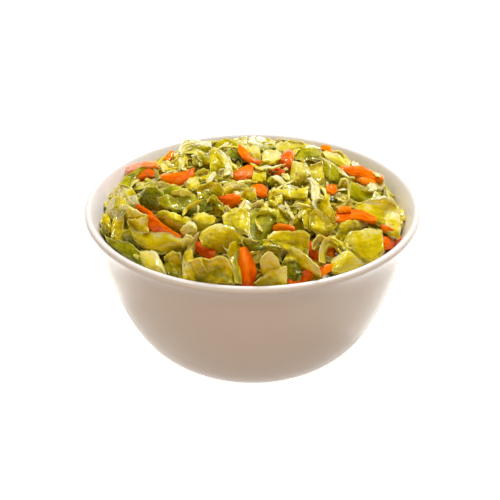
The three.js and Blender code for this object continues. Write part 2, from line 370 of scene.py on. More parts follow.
def leaf_sheet(length, width, steps, across, bend, wiggle, twist, cup, ruffle, sway, slant,
               crumple=0.0):
    """The middle surface of a cut leaf. It bends along its length, twists, cups and ruffles."""
    s = np.linspace(0, 1, steps + 1)
    t = np.linspace(-1, 1, across + 1)
    swings = 2 * math.pi * draw.uniform(*SWINGS)
    lean = -bend * (s - 0.5) + wiggle * np.sin(swings * s + draw.uniform(0, ANY_PHASE))
    step = length / steps
    between_rows = lean[:-1] / 2 + lean[1:] / 2
    run = np.concatenate([[0], np.cumsum(np.cos(between_rows))]) * step
    rise = np.concatenate([[0], np.cumsum(np.sin(between_rows))]) * step
    run -= run.mean()
    rise -= rise.mean()
    half_left = width / 2 * (1 + uneven(s, RAGGED))
    half_right = width / 2 * (1 + uneven(s, RAGGED))
    ends = np.minimum(1, BLUNT_END + END_SLOPE * np.minimum(s, 1 - s))
    half = np.where(t[None, :] < 0, half_left[:, None], half_right[:, None])
    side = half * ends[:, None] * t[None, :]
    turn = cup * t[None, :]
    flat = side * np.sinc(turn / math.pi)
    lift = -side * turn / 2 * np.sinc(turn / 2 / math.pi) ** 2
    edge = np.abs(t[None, :]) ** RUFFLE_POWER
    waves = draw.uniform(*RUFFLE_WAVES)
    left_wave = np.sin(2 * math.pi * waves * s + draw.uniform(0, ANY_PHASE))
    right_waves = 2 * math.pi * waves * draw.uniform(*RIGHT_WAVES)
    right_wave = np.sin(right_waves * s + draw.uniform(0, ANY_PHASE))
    lift = lift + ruffle * edge * np.where(t[None, :] < 0, left_wave[:, None], right_wave[:, None])
    lift = lift + crumpled(s[:, None] * length + 0 * side, side, DENT_LENGTH, crumple)
    roll = twist * (s[:, None] - 0.5) * 2
    over = flat * np.cos(roll) - lift * np.sin(roll)
    up = flat * np.sin(roll) + lift * np.cos(roll)
    back = slant * side
    x = run[:, None] - up * np.sin(lean[:, None]) + back * np.cos(lean[:, None])
    y = over + (sway * np.sin(math.pi * s + draw.uniform(*SWAY_START)))[:, None]
    z = rise[:, None] + up * np.cos(lean[:, None]) + back * np.sin(lean[:, None])
    return np.stack([x, y, z], axis=-1)


def turn_about(axis, angle):
    a, b = [(1, 2), (2, 0), (0, 1)][axis]
    matrix = np.eye(3)
    matrix[a, a] = matrix[b, b] = math.cos(angle)
    matrix[a, b] = -math.sin(angle)
    matrix[b, a] = math.sin(angle)
    return matrix


def lean_to(normal):
    """The turn that brings an upright piece onto a slope."""
    up = np.array([0.0, 0.0, 1.0])
    cross = np.cross(up, normal)
    sine, cosine = np.linalg.norm(cross), float(normal @ up)
    if sine <= TINY:
        return np.eye(3)
    k = cross / sine
    skew = np.array([[0, -k[2], k[1]], [k[2], 0, -k[0]], [-k[1], k[0], 0]])
    return np.eye(3) + sine * skew + (1 - cosine) * skew @ skew


def turned(sheet, heading, pitch, roll, normal):
    """Rolls, pitches and heads a sheet, then leans it with the heap's surface."""
    matrix = lean_to(normal) @ turn_about(2, heading) @ turn_about(1, pitch) @ turn_about(0, roll)
    return sheet @ matrix.T


LIP_ROOM_HEIGHT = 66.0  # a piece is first brought inside the bowl as wide as it is here
PROUD = 3.0  # how far a piece stands over the mean surface before it is pressed down
PRESSED = 0.8  # share of what is over that, taken off


def rest_on(heap, sheet, place, sunk, drape):
    """Sets a sheet on the heap. It sinks a little, droops over what is under it, and meets the wall."""
    laid = sheet + np.array([place[0], place[1], 0.0])
    laid = inside_wall(laid, LIP_ROOM_HEIGHT)
    gap = laid[..., 2] - heap.at(laid[..., 0], laid[..., 1])
    laid[..., 2] -= np.percentile(gap, sunk)
    gap = laid[..., 2] - heap.at(laid[..., 0], laid[..., 1])
    droop = np.maximum(0, gap)
    for _ in range(3):
        droop[1:-1] = (droop[:-2] + droop[1:-1] + droop[2:]) / 3
        droop[:, 1:-1] = (droop[:, :-2] + droop[:, 1:-1] + droop[:, 2:]) / 3
    laid[..., 2] -= drape * droop
    ceiling = np.minimum(dome(laid[..., 0], laid[..., 1]) + PROUD, HIGHEST)
    over = np.maximum(0, laid[..., 2] - ceiling)
    laid[..., 2] -= PRESSED * over
    laid[..., 2] = np.minimum(laid[..., 2], HIGHEST)
    return inside_wall(laid, laid[..., 2])


def inside_wall(sheet, height):
    reach = np.hypot(sheet[..., 0], sheet[..., 1])
    room = room_at(height)
    pull = np.where(reach > room, room / np.maximum(reach, TINY), 1.0)
    moved = sheet.copy()
    moved[..., 0] *= pull
    moved[..., 1] *= pull
    return moved


# ---- Piles: all the pieces of one kind, as one mesh ----------------------------------------------

CRISP = math.radians(48)  # edges sharper than this stay crisp
MAP_SIZE = 40  # millimetres of leaf to one unit of its map
THIN_RIM = 0.55  # thickness at a leaf's rim, as a share of the whole
RIM_SLOPE = 2.5  # how fast the rim reaches its full thickness
CUT_SLOPE = 3.5  # how fast the pale of a cut edge fades: partly its own colour, partly painted highlight
PALE_FADE = 1.1  # how fast a pale rib fades to both sides
PALE_PLACES = (-0.8, 0.8)  # where a rib may run across a leaf
HIGHLIGHT_RIM_WAVES = (0.7, 1.6)  # along a rim of painted highlight
HIGHLIGHT_RIM_EDGE = 1.2  # over 1, so that the painted highlight rim is full at the very edge


class Pile:
    """Gathers the pieces of one kind, and makes them one object."""

    def __init__(self):
        self.points, self.faces, self.maps = [], [], []
        self.tint, self.rib, self.cut = [], [], []
        self.count = 0

    def take(self, points, faces, plan, tint, rib, cut):
        self.points.append(points)
        self.faces.append(faces + self.count)
        self.maps.append(plan)
        self.tint.append(tint)
        self.rib.append(rib)
        self.cut.append(cut)
        self.count += len(points)

    def make(self, name, material, slot):
        mesh = bpy.data.meshes.new(name)
        faces = np.concatenate(self.faces)
        mesh.from_pydata(np.concatenate(self.points) * MM, [], faces.tolist())
        # cut: the cut ends of sticks; on leaves, pale cut edges, partly their own colour and partly
        # painted highlight, and the painted highlight band along their upper rims
        values = {"tint": self.tint, "rib": self.rib, "cut": self.cut}
        for key, parts in values.items():
            layer = mesh.attributes.new(key, "FLOAT", "POINT")
            layer.data.foreach_set("value", np.concatenate(parts).astype(np.float32))
        plan = mesh.uv_layers.new(name="piece_map")
        corner = np.zeros(len(mesh.loops), dtype=np.int32)
        mesh.loops.foreach_get("vertex_index", corner)
        plan.data.foreach_set("uv", np.concatenate(self.maps)[corner].astype(np.float32).ravel())
        mesh.update()
        piece = bpy.data.objects.new(name, mesh)
        bpy.context.scene.collection.objects.link(piece)
        mesh.materials.append(material)
        start_fresh()
        bpy.context.view_layer.objects.active = piece
        piece.select_set(True)
        bpy.ops.object.shade_smooth_by_angle(angle=CRISP)
        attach(piece, "root")
        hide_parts("coleslaw")


def twice(values):
    return np.concatenate([values, values])


def sheet_faces(rows, columns):
    """The faces of a closed sheet: its upper side, its lower side and its rim."""
    number = np.arange(rows * columns).reshape(rows, columns)
    under = rows * columns
    a, b = number[:-1, :-1].ravel(), number[1:, :-1].ravel()
    c, d = number[1:, 1:].ravel(), number[:-1, 1:].ravel()
    top = np.stack([a, b, c, d], axis=1)
    low = np.stack([a, d, c, b], axis=1) + under
    loop = np.concatenate([number[:-1, 0], number[-1, :-1], number[:0:-1, -1], number[0, :0:-1]])
    after = np.roll(loop, -1)
    rim = np.stack([loop, loop + under, after + under, after], axis=1)
    return np.concatenate([top, low, rim])


def add_sheet(pile, sheet, thickness, tint, rib, fold_tint=0.0, shares=None, rim=0.0, across_tone_and_shading=0.0):
    """A thin closed solid round a middle surface: two faces split alike, and a rim."""
    rows, columns = sheet.shape[:2]
    along = np.gradient(sheet, axis=0)
    across = np.gradient(sheet, axis=1)
    normal = np.cross(along, across)
    normal /= np.maximum(np.linalg.norm(normal, axis=-1, keepdims=True), 1e-9)
    down, over = shares or (np.linspace(0, 1, rows), np.linspace(-1, 1, columns))
    s = down[:, None] * np.ones((1, columns))
    t = over[None, :] * np.ones((rows, 1))
    edge = np.minimum(np.minimum(t - t.min(), t.max() - t), 2 * np.minimum(s, 1 - s) * 2)
    if shares:
        edge = np.minimum(1, edge * 3)
    full = THIN_RIM + (1 - THIN_RIM) * np.clip(edge * RIM_SLOPE, 0, 1)
    thick = thickness * full[..., None]
    upper = (sheet + normal * thick / 2).reshape(-1, 3)
    lower = (sheet - normal * thick / 2).reshape(-1, 3)
    length = np.linalg.norm(along, axis=-1).mean() * rows
    width = np.linalg.norm(across, axis=-1).mean() * columns
    spot = draw.uniform(0, MAP_SIZE, 2)
    plan = np.stack([(s * length + spot[0]) / MAP_SIZE, (t * width / 2 + spot[1]) / MAP_SIZE], axis=-1)
    # across_tone_and_shading darkens the colour across a piece: on placed leaves, painted light at the
    # upper edge and painted shade at the lower; on the others, a random tone
    colour = np.clip(tint + fold_tint * (s - 0.5) + across_tone_and_shading * t, 0, 1)
    off_rib = np.abs(t - draw.uniform(*PALE_PLACES))
    paleness = np.clip(rib * (1 - off_rib * PALE_FADE), 0, 1)
    # pale cut edges all round: partly the cut's own colour, partly painted highlight where the edges
    # catch the light
    cut = 1 - np.clip(edge * CUT_SLOPE, 0, 1)
    # rim: a painted highlight, a pale band along the upper edge that swells and thins along the piece
    if rim:
        wave = math.pi * (s * draw.uniform(*HIGHLIGHT_RIM_WAVES) + draw.uniform(0, 1))
        width = rim * np.abs(np.sin(wave)) + 0.01
        cut = np.maximum(cut, np.clip(HIGHLIGHT_RIM_EDGE - (t + 1) / width, 0, 1))
    pile.take(
        np.concatenate([upper, lower]), sheet_faces(rows, columns), twice(plan.reshape(-1, 2)),
        twice(colour.ravel()), twice(paleness.ravel()), twice(cut.ravel()),
    )


STICK_SIDES = 6
STICK_ROLL = (0, 1.2)
STICK_BLUNT = 0.8  # thickness at a stick's ends, as a share of the whole
STICK_WORN = 1.6  # steps of its length over which the ends thin
STICK_CORNER = 0.75  # 0 is round, and 1 is square
STICK_WANDER = 0.08  # how far its thickness wanders
STICK_SLANT = (-0.5, 0.5)  # slant of its two cuts
STICK_CUT_START = 0.38  # the cuts lie past this, from the middle
STICK_POINT = 0.1  # how far the middle of a cut end stands out, as a share of the width
CUT_FADE = 1.2  # steps of its length over which the colour of a cut fades


def add_stick(pile, line, wide, deep, tint):
    """A cut stick along a line of points, with rounded corners and worn ends."""
    count, sides = len(line), STICK_SIDES
    ahead = np.gradient(line, axis=0)
    ahead /= np.linalg.norm(ahead, axis=1, keepdims=True)
    out = np.cross(ahead, [0.0, 0.0, 1.0])
    out /= np.maximum(np.linalg.norm(out, axis=1, keepdims=True), TINY)
    up = np.cross(out, ahead)
    roll = draw.uniform(*STICK_ROLL)
    sine, cosine = math.sin(roll), math.cos(roll)
    out, up = out * cosine + up * sine, up * cosine - out * sine
    s = np.linspace(0, 1, count)
    end = np.minimum(s, 1 - s) * count
    full = np.clip(STICK_BLUNT + (1 - STICK_BLUNT) * end / STICK_WORN, 0, 1)
    full = full * (1 + uneven(s, STICK_WANDER))
    angle = np.linspace(0, TURN, sides, endpoint=False) + math.pi / sides
    square = 1 / np.maximum(np.abs(np.cos(angle)), np.abs(np.sin(angle))) ** STICK_CORNER
    reach_out = wide / 2 * square * np.cos(angle)
    reach_up = deep / 2 * square * np.sin(angle)
    sideways = full[:, None] * reach_out[None, :]
    upwards = full[:, None] * reach_up[None, :]
    rings = line[:, None, :] + out[:, None, :] * sideways[..., None]
    rings = rings + up[:, None, :] * upwards[..., None]
    slant = draw.uniform(*STICK_SLANT)
    at_end = (np.abs(s - 0.5) > STICK_CUT_START)[:, None]
    slanted = slant * full[:, None] * reach_out[None, :] * at_end
    rings = rings + ahead[:, None, :] * slanted[..., None]
    first_tip = line[:1] - ahead[:1] * wide * STICK_POINT
    last_tip = line[-1:] + ahead[-1:] * wide * STICK_POINT
    points = np.concatenate([rings.reshape(-1, 3), first_tip, last_tip])
    number = np.arange(count * sides).reshape(count, sides)
    beyond = np.roll(number, -1, axis=1)
    corners = (number[:-1], beyond[:-1], beyond[1:], number[1:])
    body = np.stack([corner.ravel() for corner in corners], axis=1)
    first, last = np.full(sides, count * sides), np.full(sides, count * sides + 1)
    near = np.stack([beyond[0], number[0], first, first], axis=1)
    far = np.stack([number[-1], beyond[-1], last, last], axis=1)
    length = np.linalg.norm(np.diff(line, axis=0), axis=1).sum()
    spot = draw.uniform(0, MAP_SIZE, 2)
    down = (np.repeat(s, sides) * length + spot[0]) / MAP_SIZE
    over = (np.tile(np.linspace(0, 1, sides), count) * wide * 3 + spot[1]) / MAP_SIZE
    plan = np.stack([down, over], axis=-1)
    plan = np.concatenate([plan, plan[:1], plan[-1:]])
    total = len(points)
    cut = np.concatenate([np.repeat(np.clip(1 - end / CUT_FADE, 0, 1), sides), [1, 1]])
    faces = np.concatenate([body, near, far])
    pile.take(points, faces, plan, np.full(total, tint), np.zeros(total), cut)


# ---- Materials -----------------------------------------------------------------------------------

NOISE_RANGE = (0.3, 0.7)  # where nearly all of a noise's values lie


class Finish:
    """A material and short ways to wire it."""

    def __init__(self, name):
        self.material = bpy.data.materials.new(name)
        self.material.use_nodes = True
        self.nodes = self.material.node_tree.nodes
        self.links = self.material.node_tree.links
        self.shader = self.nodes["Principled BSDF"]

    def node(self, kind, **settings):
        made = self.nodes.new(kind)
        for key, value in settings.items():
            setattr(made, key, value)
        return made

    def join(self, start, end):
        self.links.new(start, end)

    def wire(self, **outputs):
        """Joins each output to the shader's input of that name."""
        for key, output in outputs.items():
            self.join(output, self.shader.inputs[key.replace("_", " ")])

    def set(self, **values):
        for key, value in values.items():
            self.shader.inputs[key.replace("_", " ")].default_value = value

    def fill(self, sockets, values):
        """Sets each socket to a number or a colour, or joins an output to it."""
        for socket, value in zip(sockets, values):
            if isinstance(value, (int, float)):
                socket.default_value = value
            elif isinstance(value, tuple):
                socket.default_value = (*value, 1.0)
            else:
                self.join(value, socket)

    def attribute(self, name):
        return self.node("ShaderNodeAttribute", attribute_name=name).outputs["Fac"]

    def piece_map(self, stretch=(1, 1, 1)):
        source = self.node("ShaderNodeUVMap", uv_map="piece_map")
        mapping = self.node("ShaderNodeMapping")
        mapping.inputs["Scale"].default_value = stretch
        self.join(source.outputs["UV"], mapping.inputs["Vector"])
        return mapping.outputs["Vector"]

    def place(self):
        return self.node("ShaderNodeTexCoord").outputs["Object"]

    def noise(self, where, scale, detail, roughness=0.5, distortion=0.0):
        made = self.node("ShaderNodeTexNoise")
        made.inputs["Scale"].default_value = scale
        made.inputs["Detail"].default_value = detail
        made.inputs["Roughness"].default_value = roughness
        made.inputs["Distortion"].default_value = distortion
        self.join(where, made.inputs["Vector"])
        return made.outputs["Fac"]

    def ramp(self, factor, stops):
        made = self.node("ShaderNodeValToRGB")
        set_stops(made.color_ramp, stops)
        self.join(factor, made.inputs["Fac"])
        return made.outputs["Color"]

    def spread(self, factor, low, high, start=0.0, end=1.0):
        """Takes start to low, end to high, and what lies between them evenly."""
        made = self.node("ShaderNodeMapRange")
        made.inputs["From Min"].default_value = start
        made.inputs["From Max"].default_value = end
        made.inputs["To Min"].default_value = low
        made.inputs["To Max"].default_value = high
        self.join(factor, made.inputs["Value"])
        return made.outputs["Result"]

    def sum(self, first, second, operation="ADD"):
        made = self.node("ShaderNodeMath", operation=operation)
        self.fill(made.inputs, (first, second))
        return made.outputs["Value"]

    def blend(self, factor, first, second):
        made = self.node("ShaderNodeMix", data_type="RGBA", blend_type="MIX")
        self.fill((made.inputs[0], made.inputs[6], made.inputs[7]), (factor, first, second))
        return made.outputs[2]

    def bump(self, height, strength, distance, under=None):
        made = self.node("ShaderNodeBump")
        made.inputs["Strength"].default_value = strength
        made.inputs["Distance"].default_value = distance
        self.join(height, made.inputs["Height"])
        if under is not None:
            self.join(under, made.inputs["Normal"])
        return made.outputs["Normal"]


def set_stops(ramp, stops):
    while len(ramp.elements) < len(stops):
        ramp.elements.new(0.5)
    for element, (position, colour) in zip(ramp.elements, stops):
        element.position = position
        element.color = (*colour, 1.0)


GLAZE = ((0.3, (0.86, 0.82, 0.865)), (0.7, (0.88, 0.845, 0.895)))
# darker than any leaf: painted shade for the gaps where the core shows
CORE_SHADE_COLOURS = (
    (0.3, (0.10, 0.085, 0.012)),
    (0.55, (0.28, 0.25, 0.04)),
    (0.75, (0.5, 0.45, 0.12)),
)
LEAF_COLOURS = (
    (0.02, (0.84, 0.71, 0.27)),
    (0.16, (0.79, 0.63, 0.03)),
    (0.34, (0.72, 0.55, 0.0)),
    (0.65, (0.52, 0.40, 0.0)),
    (0.98, (0.28, 0.245, 0.0)),
)
GREEN_COLOURS = ((0.02, (0.44, 0.40, 0.0)), (0.5, (0.22, 0.22, 0.0)), (0.98, (0.08, 0.095, 0.0)))
RIB_COLOURS = ((0.02, (0.86, 0.80, 0.56)), (0.3, (0.82, 0.71, 0.27)), (0.98, (0.62, 0.51, 0.03)))
CARROT_COLOURS = ((0.05, (0.62, 0.075, 0.0)), (0.45, (0.93, 0.15, 0.0)), (0.95, (1.0, 0.27, 0.0)))
LEAF_PALE = (0.90, 0.78, 0.14)
GREEN_PALE = (0.60, 0.56, 0.02)
RIB_PALE = (0.90, 0.80, 0.36)
VEIN = (0.86, 0.71, 0.01)
# pale of cut edges and rims: partly the cut's own colour, partly painted highlight
CUT_EDGE_AND_HIGHLIGHT = (0.94, 0.84, 0.26)
CUT_CARROT = (1.0, 0.36, 0.01)


def white_glaze():
    finish = Finish("white glaze")
    place = finish.place()
    tone = finish.noise(place, scale=40.0, detail=2.0)
    colour = finish.ramp(tone, GLAZE)
    gloss = finish.spread(finish.noise(place, scale=90.0, detail=3.0), low=0.17, high=0.27)
    ripple = finish.noise(place, scale=260.0, detail=2.0)
    relief = finish.bump(ripple, strength=0.04, distance=0.4 * MM)
    finish.wire(Base_Color=colour, Roughness=gloss, Normal=relief)
    finish.set(IOR=1.45, Coat_Weight=0.15, Coat_Roughness=0.08)
    return finish.material


# the slaw of the core, coloured dark as painted shade of the gaps
def shaded_core_finish():
    finish = Finish("slaw core in painted shade")
    tone = finish.noise(finish.place(), scale=240.0, detail=4.0, roughness=0.6)
    colour = finish.ramp(tone, CORE_SHADE_COLOURS)
    gloss = finish.spread(tone, low=0.25, high=0.5)
    relief = finish.bump(tone, strength=0.6, distance=1.0 * MM)
    finish.wire(Base_Color=colour, Roughness=gloss, Normal=relief)
    finish.set(IOR=1.33, Specular_Tint=(1.0, 0.8, 0.1, 1.0))
    return finish.material


def leaf_tint(finish, where):
    """How deep the colour is: the piece's own tint, with patches, mottling and fibres."""
    patches = finish.noise(where, scale=5.0, detail=2.0)
    mottle = finish.noise(where, scale=22.0, detail=4.0, roughness=0.6)
    fibre_map = finish.piece_map((1.0, 5.0, 1.0))
    fibres = finish.noise(fibre_map, scale=4.0, detail=3.0, roughness=0.6)
    tint = finish.attribute("tint")
    for pattern, reach in ((patches, 0.4), (mottle, 0.08), (fibres, 0.22)):
        tint = finish.sum(tint, finish.spread(pattern, -reach, reach, *NOISE_RANGE))
    return tint, fibres


def leaf_veins(finish, share):
    """Thin lines where a drawn-out noise crosses its middle value."""
    vein_map = finish.piece_map((1.0, 1.6, 1.0))
    ridge = finish.noise(vein_map, scale=10.0, detail=1.0, distortion=0.6)
    off_ridge = finish.sum(finish.sum(ridge, 0.5, "SUBTRACT"), 0.0, "ABSOLUTE")
    return finish.spread(off_ridge, low=share, high=0.0, start=0.0, end=0.03)


def leaf_finish(name, stops, pale, vein_share, see_through):
    """A moist cut leaf: its colour runs from pale to deep, with pale veins, and pale cut edges that are
    partly the cut's own colour and partly painted highlight.
    """
    finish = Finish(name)
    where = finish.piece_map()
    tint, fibres = leaf_tint(finish, where)
    vein = leaf_veins(finish, vein_share)
    rib = finish.spread(finish.attribute("rib"), low=0.0, high=0.9, start=0.3, end=1.0)
    # cut: pale cut edges, partly their own colour and partly painted highlight, with the painted
    # highlight band along upper rims
    cut = finish.spread(finish.attribute("cut"), low=0.0, high=0.6, start=0.2, end=1.0)
    colour = finish.ramp(tint, stops)
    for share, shade in ((vein, VEIN), (rib, pale), (cut, CUT_EDGE_AND_HIGHLIGHT)):
        colour = finish.blend(share, colour, shade)
    wetness = finish.noise(where, scale=9.0, detail=2.0)
    gloss = finish.spread(wetness, 0.25, 0.5, *NOISE_RANGE)
    crinkle = finish.noise(where, scale=14.0, detail=3.0, roughness=0.6)
    crinkled = finish.bump(crinkle, strength=0.4, distance=1.2 * MM)
    relief = finish.bump(finish.sum(vein, fibres), strength=0.5, distance=0.5 * MM, under=crinkled)
    pooling = finish.noise(where, scale=12.0, detail=1.0, roughness=0.4)
    film = finish.bump(pooling, strength=0.5, distance=1.6 * MM)
    finish.wire(Base_Color=colour, Roughness=gloss, Normal=relief, Coat_Normal=film)
    finish.set(
        Subsurface_Weight=see_through, Subsurface_Scale=1.6 * MM,
        Subsurface_Radius=(0.9, 0.8, 0.03), Coat_Weight=0.7, Coat_Roughness=0.05, Coat_IOR=1.4,
        IOR=1.22, Specular_Tint=(1.0, 0.82, 0.12, 1.0),
    )
    return finish.material


def carrot_flesh():
    finish = Finish("carrot flesh")
    where = finish.piece_map((1.0, 3.0, 1.0))
    grain = finish.noise(where, scale=7.0, detail=4.0, roughness=0.6)
    tint = finish.sum(finish.attribute("tint"), finish.spread(grain, -0.4, 0.4, *NOISE_RANGE))
    cut = finish.spread(finish.attribute("cut"), low=0.0, high=0.3)
    colour = finish.blend(cut, finish.ramp(tint, CARROT_COLOURS), CUT_CARROT)
    gloss = finish.spread(grain, 0.2, 0.4, *NOISE_RANGE)
    relief = finish.bump(grain, strength=0.5, distance=0.7 * MM)
    pooling = finish.noise(where, scale=8.0, detail=1.0, roughness=0.4)
    film = finish.bump(pooling, strength=0.4, distance=1.0 * MM)
    finish.wire(Base_Color=colour, Roughness=gloss, Normal=relief, Coat_Normal=film)
    finish.set(
        Subsurface_Weight=0.2, Subsurface_Scale=1.5 * MM, Subsurface_Radius=(1.0, 0.25, 0.05),
        Coat_Weight=0.3, Coat_Roughness=0.06, Coat_IOR=1.4,
        IOR=1.22, Specular_Tint=(1.0, 0.5, 0.05, 1.0),
    )
    return finish.material


def cabbage_leaf():
    return leaf_finish("cabbage leaf", LEAF_COLOURS, LEAF_PALE, vein_share=0.4, see_through=0.6)


def green_leaf():
    return leaf_finish("green outer leaf", GREEN_COLOURS, GREEN_PALE, vein_share=0.25, see_through=0.5)


def cabbage_rib():
    return leaf_finish("cabbage rib", RIB_COLOURS, RIB_PALE, vein_share=0.3, see_through=0.7)


# ---- Laying the slaw -----------------------------------------------------------------------------

TRIES = 14  # places looked at for each piece: the lowest is filled first
ALONG_WALL = 0.8  # share of the heap's radius past which pieces lie along the wall
WALL_SWAY = 0.5  # how far their heading strays from the wall's
UPRIGHT = 0.3  # pieces lie a little flatter than the slope under them
ON_EDGE_SHARE = 0.2  # of the leaves
MOSTLY_UP = (1, 1, -1)  # which way a piece bends
EITHER_WAY = (1, -1)


def between(low, high):
    return draw.uniform(low, high)


def about_zero(spread):
    return draw.normal(0, spread)


def bend_of(ways, low, high):
    return draw.choice(ways) * draw.uniform(low, high)


def leaf_roll():
    """Most leaves lie nearly flat, and some stand on an edge."""
    if draw.uniform() < ON_EDGE_SHARE:
        return bend_of((-1, 1), 0.9, 1.6)
    return draw.normal(0, 0.38)


def drawn(ranges):
    """Draws a value for each range, in the order in which they are written."""
    values = {}
    for key, value in ranges.items():
        values[key] = value[0](*value[1:]) if isinstance(value, tuple) else value
    return values


# For each kind: how it is cut, how it lies on the heap, and how thick and deep in colour it is.
# Sizes are in millimetres, turns in radians and tints from 0, the palest, to 1.

LEAF_CUT = {
    "length": (between, 14, 30), "width": (between, 8, 15), "steps": 12, "across": 5,
    "bend": (bend_of, MOSTLY_UP, 0.5, 3.0), "wiggle": (between, 0.3, 1.0),
    "twist": (about_zero, 0.6), "cup": (about_zero, 1.1), "ruffle": (between, 0.6, 2.4),
    "sway": (between, -3, 3), "slant": (between, -0.5, 0.5), "crumple": (between, 0.5, 1.2),
}
LEAF_LIE = {"sunk": 30, "drape": 0.25, "roll": (leaf_roll,), "pitch": (about_zero, 0.2)}
LEAF_BODY = {
    "thickness": (between, 0.45, 0.8), "fold_tint": (between, -0.6, 0.6),
    "across_tone_and_shading": (between, -0.35, 0.35),
}
LEAF = (LEAF_CUT, LEAF_LIE, LEAF_BODY)
FINE_LEAF = ({**LEAF_CUT, "steps": 20, "across": 8}, LEAF_LIE, LEAF_BODY)

RIB = (
    {
        "length": (between, 8, 18), "width": (between, 4, 8.5), "steps": 12, "across": 5,
        "bend": (between, -0.8, 1.2), "wiggle": (between, 0.05, 0.3),
        "twist": (about_zero, 0.25), "cup": (about_zero, 0.5), "ruffle": (between, 0, 0.4),
        "sway": (between, -1, 1), "slant": (between, -0.4, 0.4),
    },
    {"sunk": 30, "drape": 0.25, "roll": (about_zero, 0.6), "pitch": (about_zero, 0.2)},
    {"thickness": (between, 1.0, 2.2), "tint": (between, 0.1, 1), "rib": (between, 0, 0.8)},
)
SHRED = (
    {
        "length": (between, 12, 28), "width": (between, 1.4, 3.4), "steps": 16, "across": 3,
        "bend": (bend_of, EITHER_WAY, 0.3, 2.6), "wiggle": (between, 0.2, 0.8),
        "twist": (about_zero, 1.0), "cup": (about_zero, 0.3), "ruffle": (between, 0, 0.3),
        "sway": (between, -4, 4), "slant": 0.0,
    },
    {"sunk": 45, "drape": 0.5, "roll": (about_zero, 0.8), "pitch": (about_zero, 0.2)},
    {"thickness": (between, 0.5, 0.9), "tint": (between, 0.2, 1), "rib": (between, 0, 0.6)},
)
SCRAP = (  # a small trimming, down in the gaps between the larger pieces
    {
        "length": (between, 4, 11), "width": (between, 1.0, 3.4), "steps": 8, "across": 3,
        "bend": (bend_of, EITHER_WAY, 0.3, 2.2), "wiggle": (between, 0.1, 0.7),
        "twist": (about_zero, 0.9), "cup": (about_zero, 0.6), "ruffle": (between, 0, 0.4),
        "sway": (between, -1.5, 1.5), "slant": (between, -0.5, 0.5),
    },
    {"sunk": 40, "drape": 0.3, "roll": (about_zero, 0.8), "pitch": (about_zero, 0.3)},
    {
        "thickness": (between, 0.4, 0.8), "tint": (between, 0, 1), "rib": (between, 0, 0.5),
        "fold_tint": (between, -0.4, 0.4),
    },
)
STRIP = (  # thin and curled, on top of the larger pieces
    {
        "length": (between, 8, 20), "width": (between, 1.2, 2.8), "steps": 14, "across": 3,
        "bend": (bend_of, MOSTLY_UP, 0.4, 2.4), "wiggle": (between, 0.2, 0.7),
        "twist": (about_zero, 0.8), "cup": (about_zero, 0.8), "ruffle": (between, 0.1, 0.6),
        "sway": (between, -3, 3), "slant": (between, -0.5, 0.5),
    },
    {"sunk": 25, "drape": 0.4, "roll": (about_zero, 0.7), "pitch": (about_zero, 0.2), "tries": 2},
    {
        "thickness": (between, 0.45, 0.8), "tint": (between, 0, 0.5), "rib": (between, 0, 0.6),
        "fold_tint": (between, -0.3, 0.5),
    },
)

CARROT_POINTS = 10
CARROT_LENGTH = (9, 22)
CARROT_BOW = (-1.8, 1.8)
CARROT_ARCH = (-0.8, 0.8)
CARROT_WIDTH = (3.2, 5.2)
CARROT_DEPTH = (2.0, 3.4)
CARROT_HALF = 1.2  # half the width that it is laid by
CARROT_RAISED = 0.8  # its middle, above the heap
CARROT_LIE = {"sunk": 45, "drape": 0.15, "roll": 0, "pitch": (about_zero, 0.15)}


def lowest_place(heap, tries):
    radius = HEAP_RADIUS * np.sqrt(draw.uniform(0, 1, tries))
    angle = draw.uniform(0, TURN, tries)
    x, y = radius * np.cos(angle), radius * np.sin(angle)
    level = heap.at(x, y) - dome(x, y)
    best = int(np.argmin(level))
    return float(x[best]), float(y[best])


def heading_at(place):
    if math.hypot(*place) < ALONG_WALL * HEAP_RADIUS:
        return draw.uniform(0, TURN)
    return math.atan2(place[1], place[0]) + math.pi / 2 + draw.uniform(-WALL_SWAY, WALL_SWAY)


def lay(heap, sheet, sunk, drape, roll, pitch, tries=TRIES):
    place = lowest_place(heap, tries)
    normal = dome_normal(*place)
    normal = normal + np.array([0, 0, UPRIGHT])
    normal /= np.linalg.norm(normal)
    posed = turned(sheet, heading_at(place), pitch, roll, normal)
    laid = rest_on(heap, posed, place, sunk, drape)
    heap.cover(laid)
    return laid


def lay_cut(heap, pile, kind, **known):
    """Cuts a piece of one kind, lays it at a low place and puts it in its pile."""
    cut, lie, body = kind
    sheet = leaf_sheet(**drawn(cut))
    laid = lay(heap, sheet, **drawn(lie))
    add_sheet(pile, laid, **known, **drawn(body))


def lay_carrot(heap, pile):
    length = draw.uniform(*CARROT_LENGTH)
    s = np.linspace(-0.5, 0.5, CARROT_POINTS)
    arc = np.cos(math.pi * s)
    bow = draw.uniform(*CARROT_BOW)
    line = np.stack([s * length, bow * arc, draw.uniform(*CARROT_ARCH) * arc], axis=-1)
    sides = np.array([[[0, -CARROT_HALF, 0], [0, CARROT_HALF, 0]]])
    sheet = line[:, None, :].repeat(2, axis=1) + sides
    laid = lay(heap, sheet, **drawn(CARROT_LIE))
    middle = laid.mean(axis=1) + np.array([0, 0, CARROT_RAISED])
    add_stick(pile, middle, between(*CARROT_WIDTH), between(*CARROT_DEPTH), tint=draw.uniform(0, 1))


# ---- Pieces laid last, each where it lies on the heap --------------------------------------------
# An outline is two edges, upper and lower, in pixels of the front view. Lifts are in millimetres.

VIEW_ELEVATION = math.radians(30.5)
VIEW_DISTANCE = 600.0
AIM_HEIGHT = 33.0
IMAGE = 500.0
FOCAL = 1301.2  # in pixels
AIM_PIXEL = (252.4, 270.8)
SENSOR = 36.0


class Placed:
    """A piece with a known outline: its kind, its two edges, how it stands off the heap, and its rim, a
    band of painted highlight along its upper edge.
    """

    def __init__(self, kind, upper, lower, lift, crown, tint, rib=0.0, rim=0.0):
        self.kind, self.upper, self.lower = kind, upper, lower
        self.lift, self.crown, self.tint, self.rib, self.rim = lift, crown, tint, rib, rim


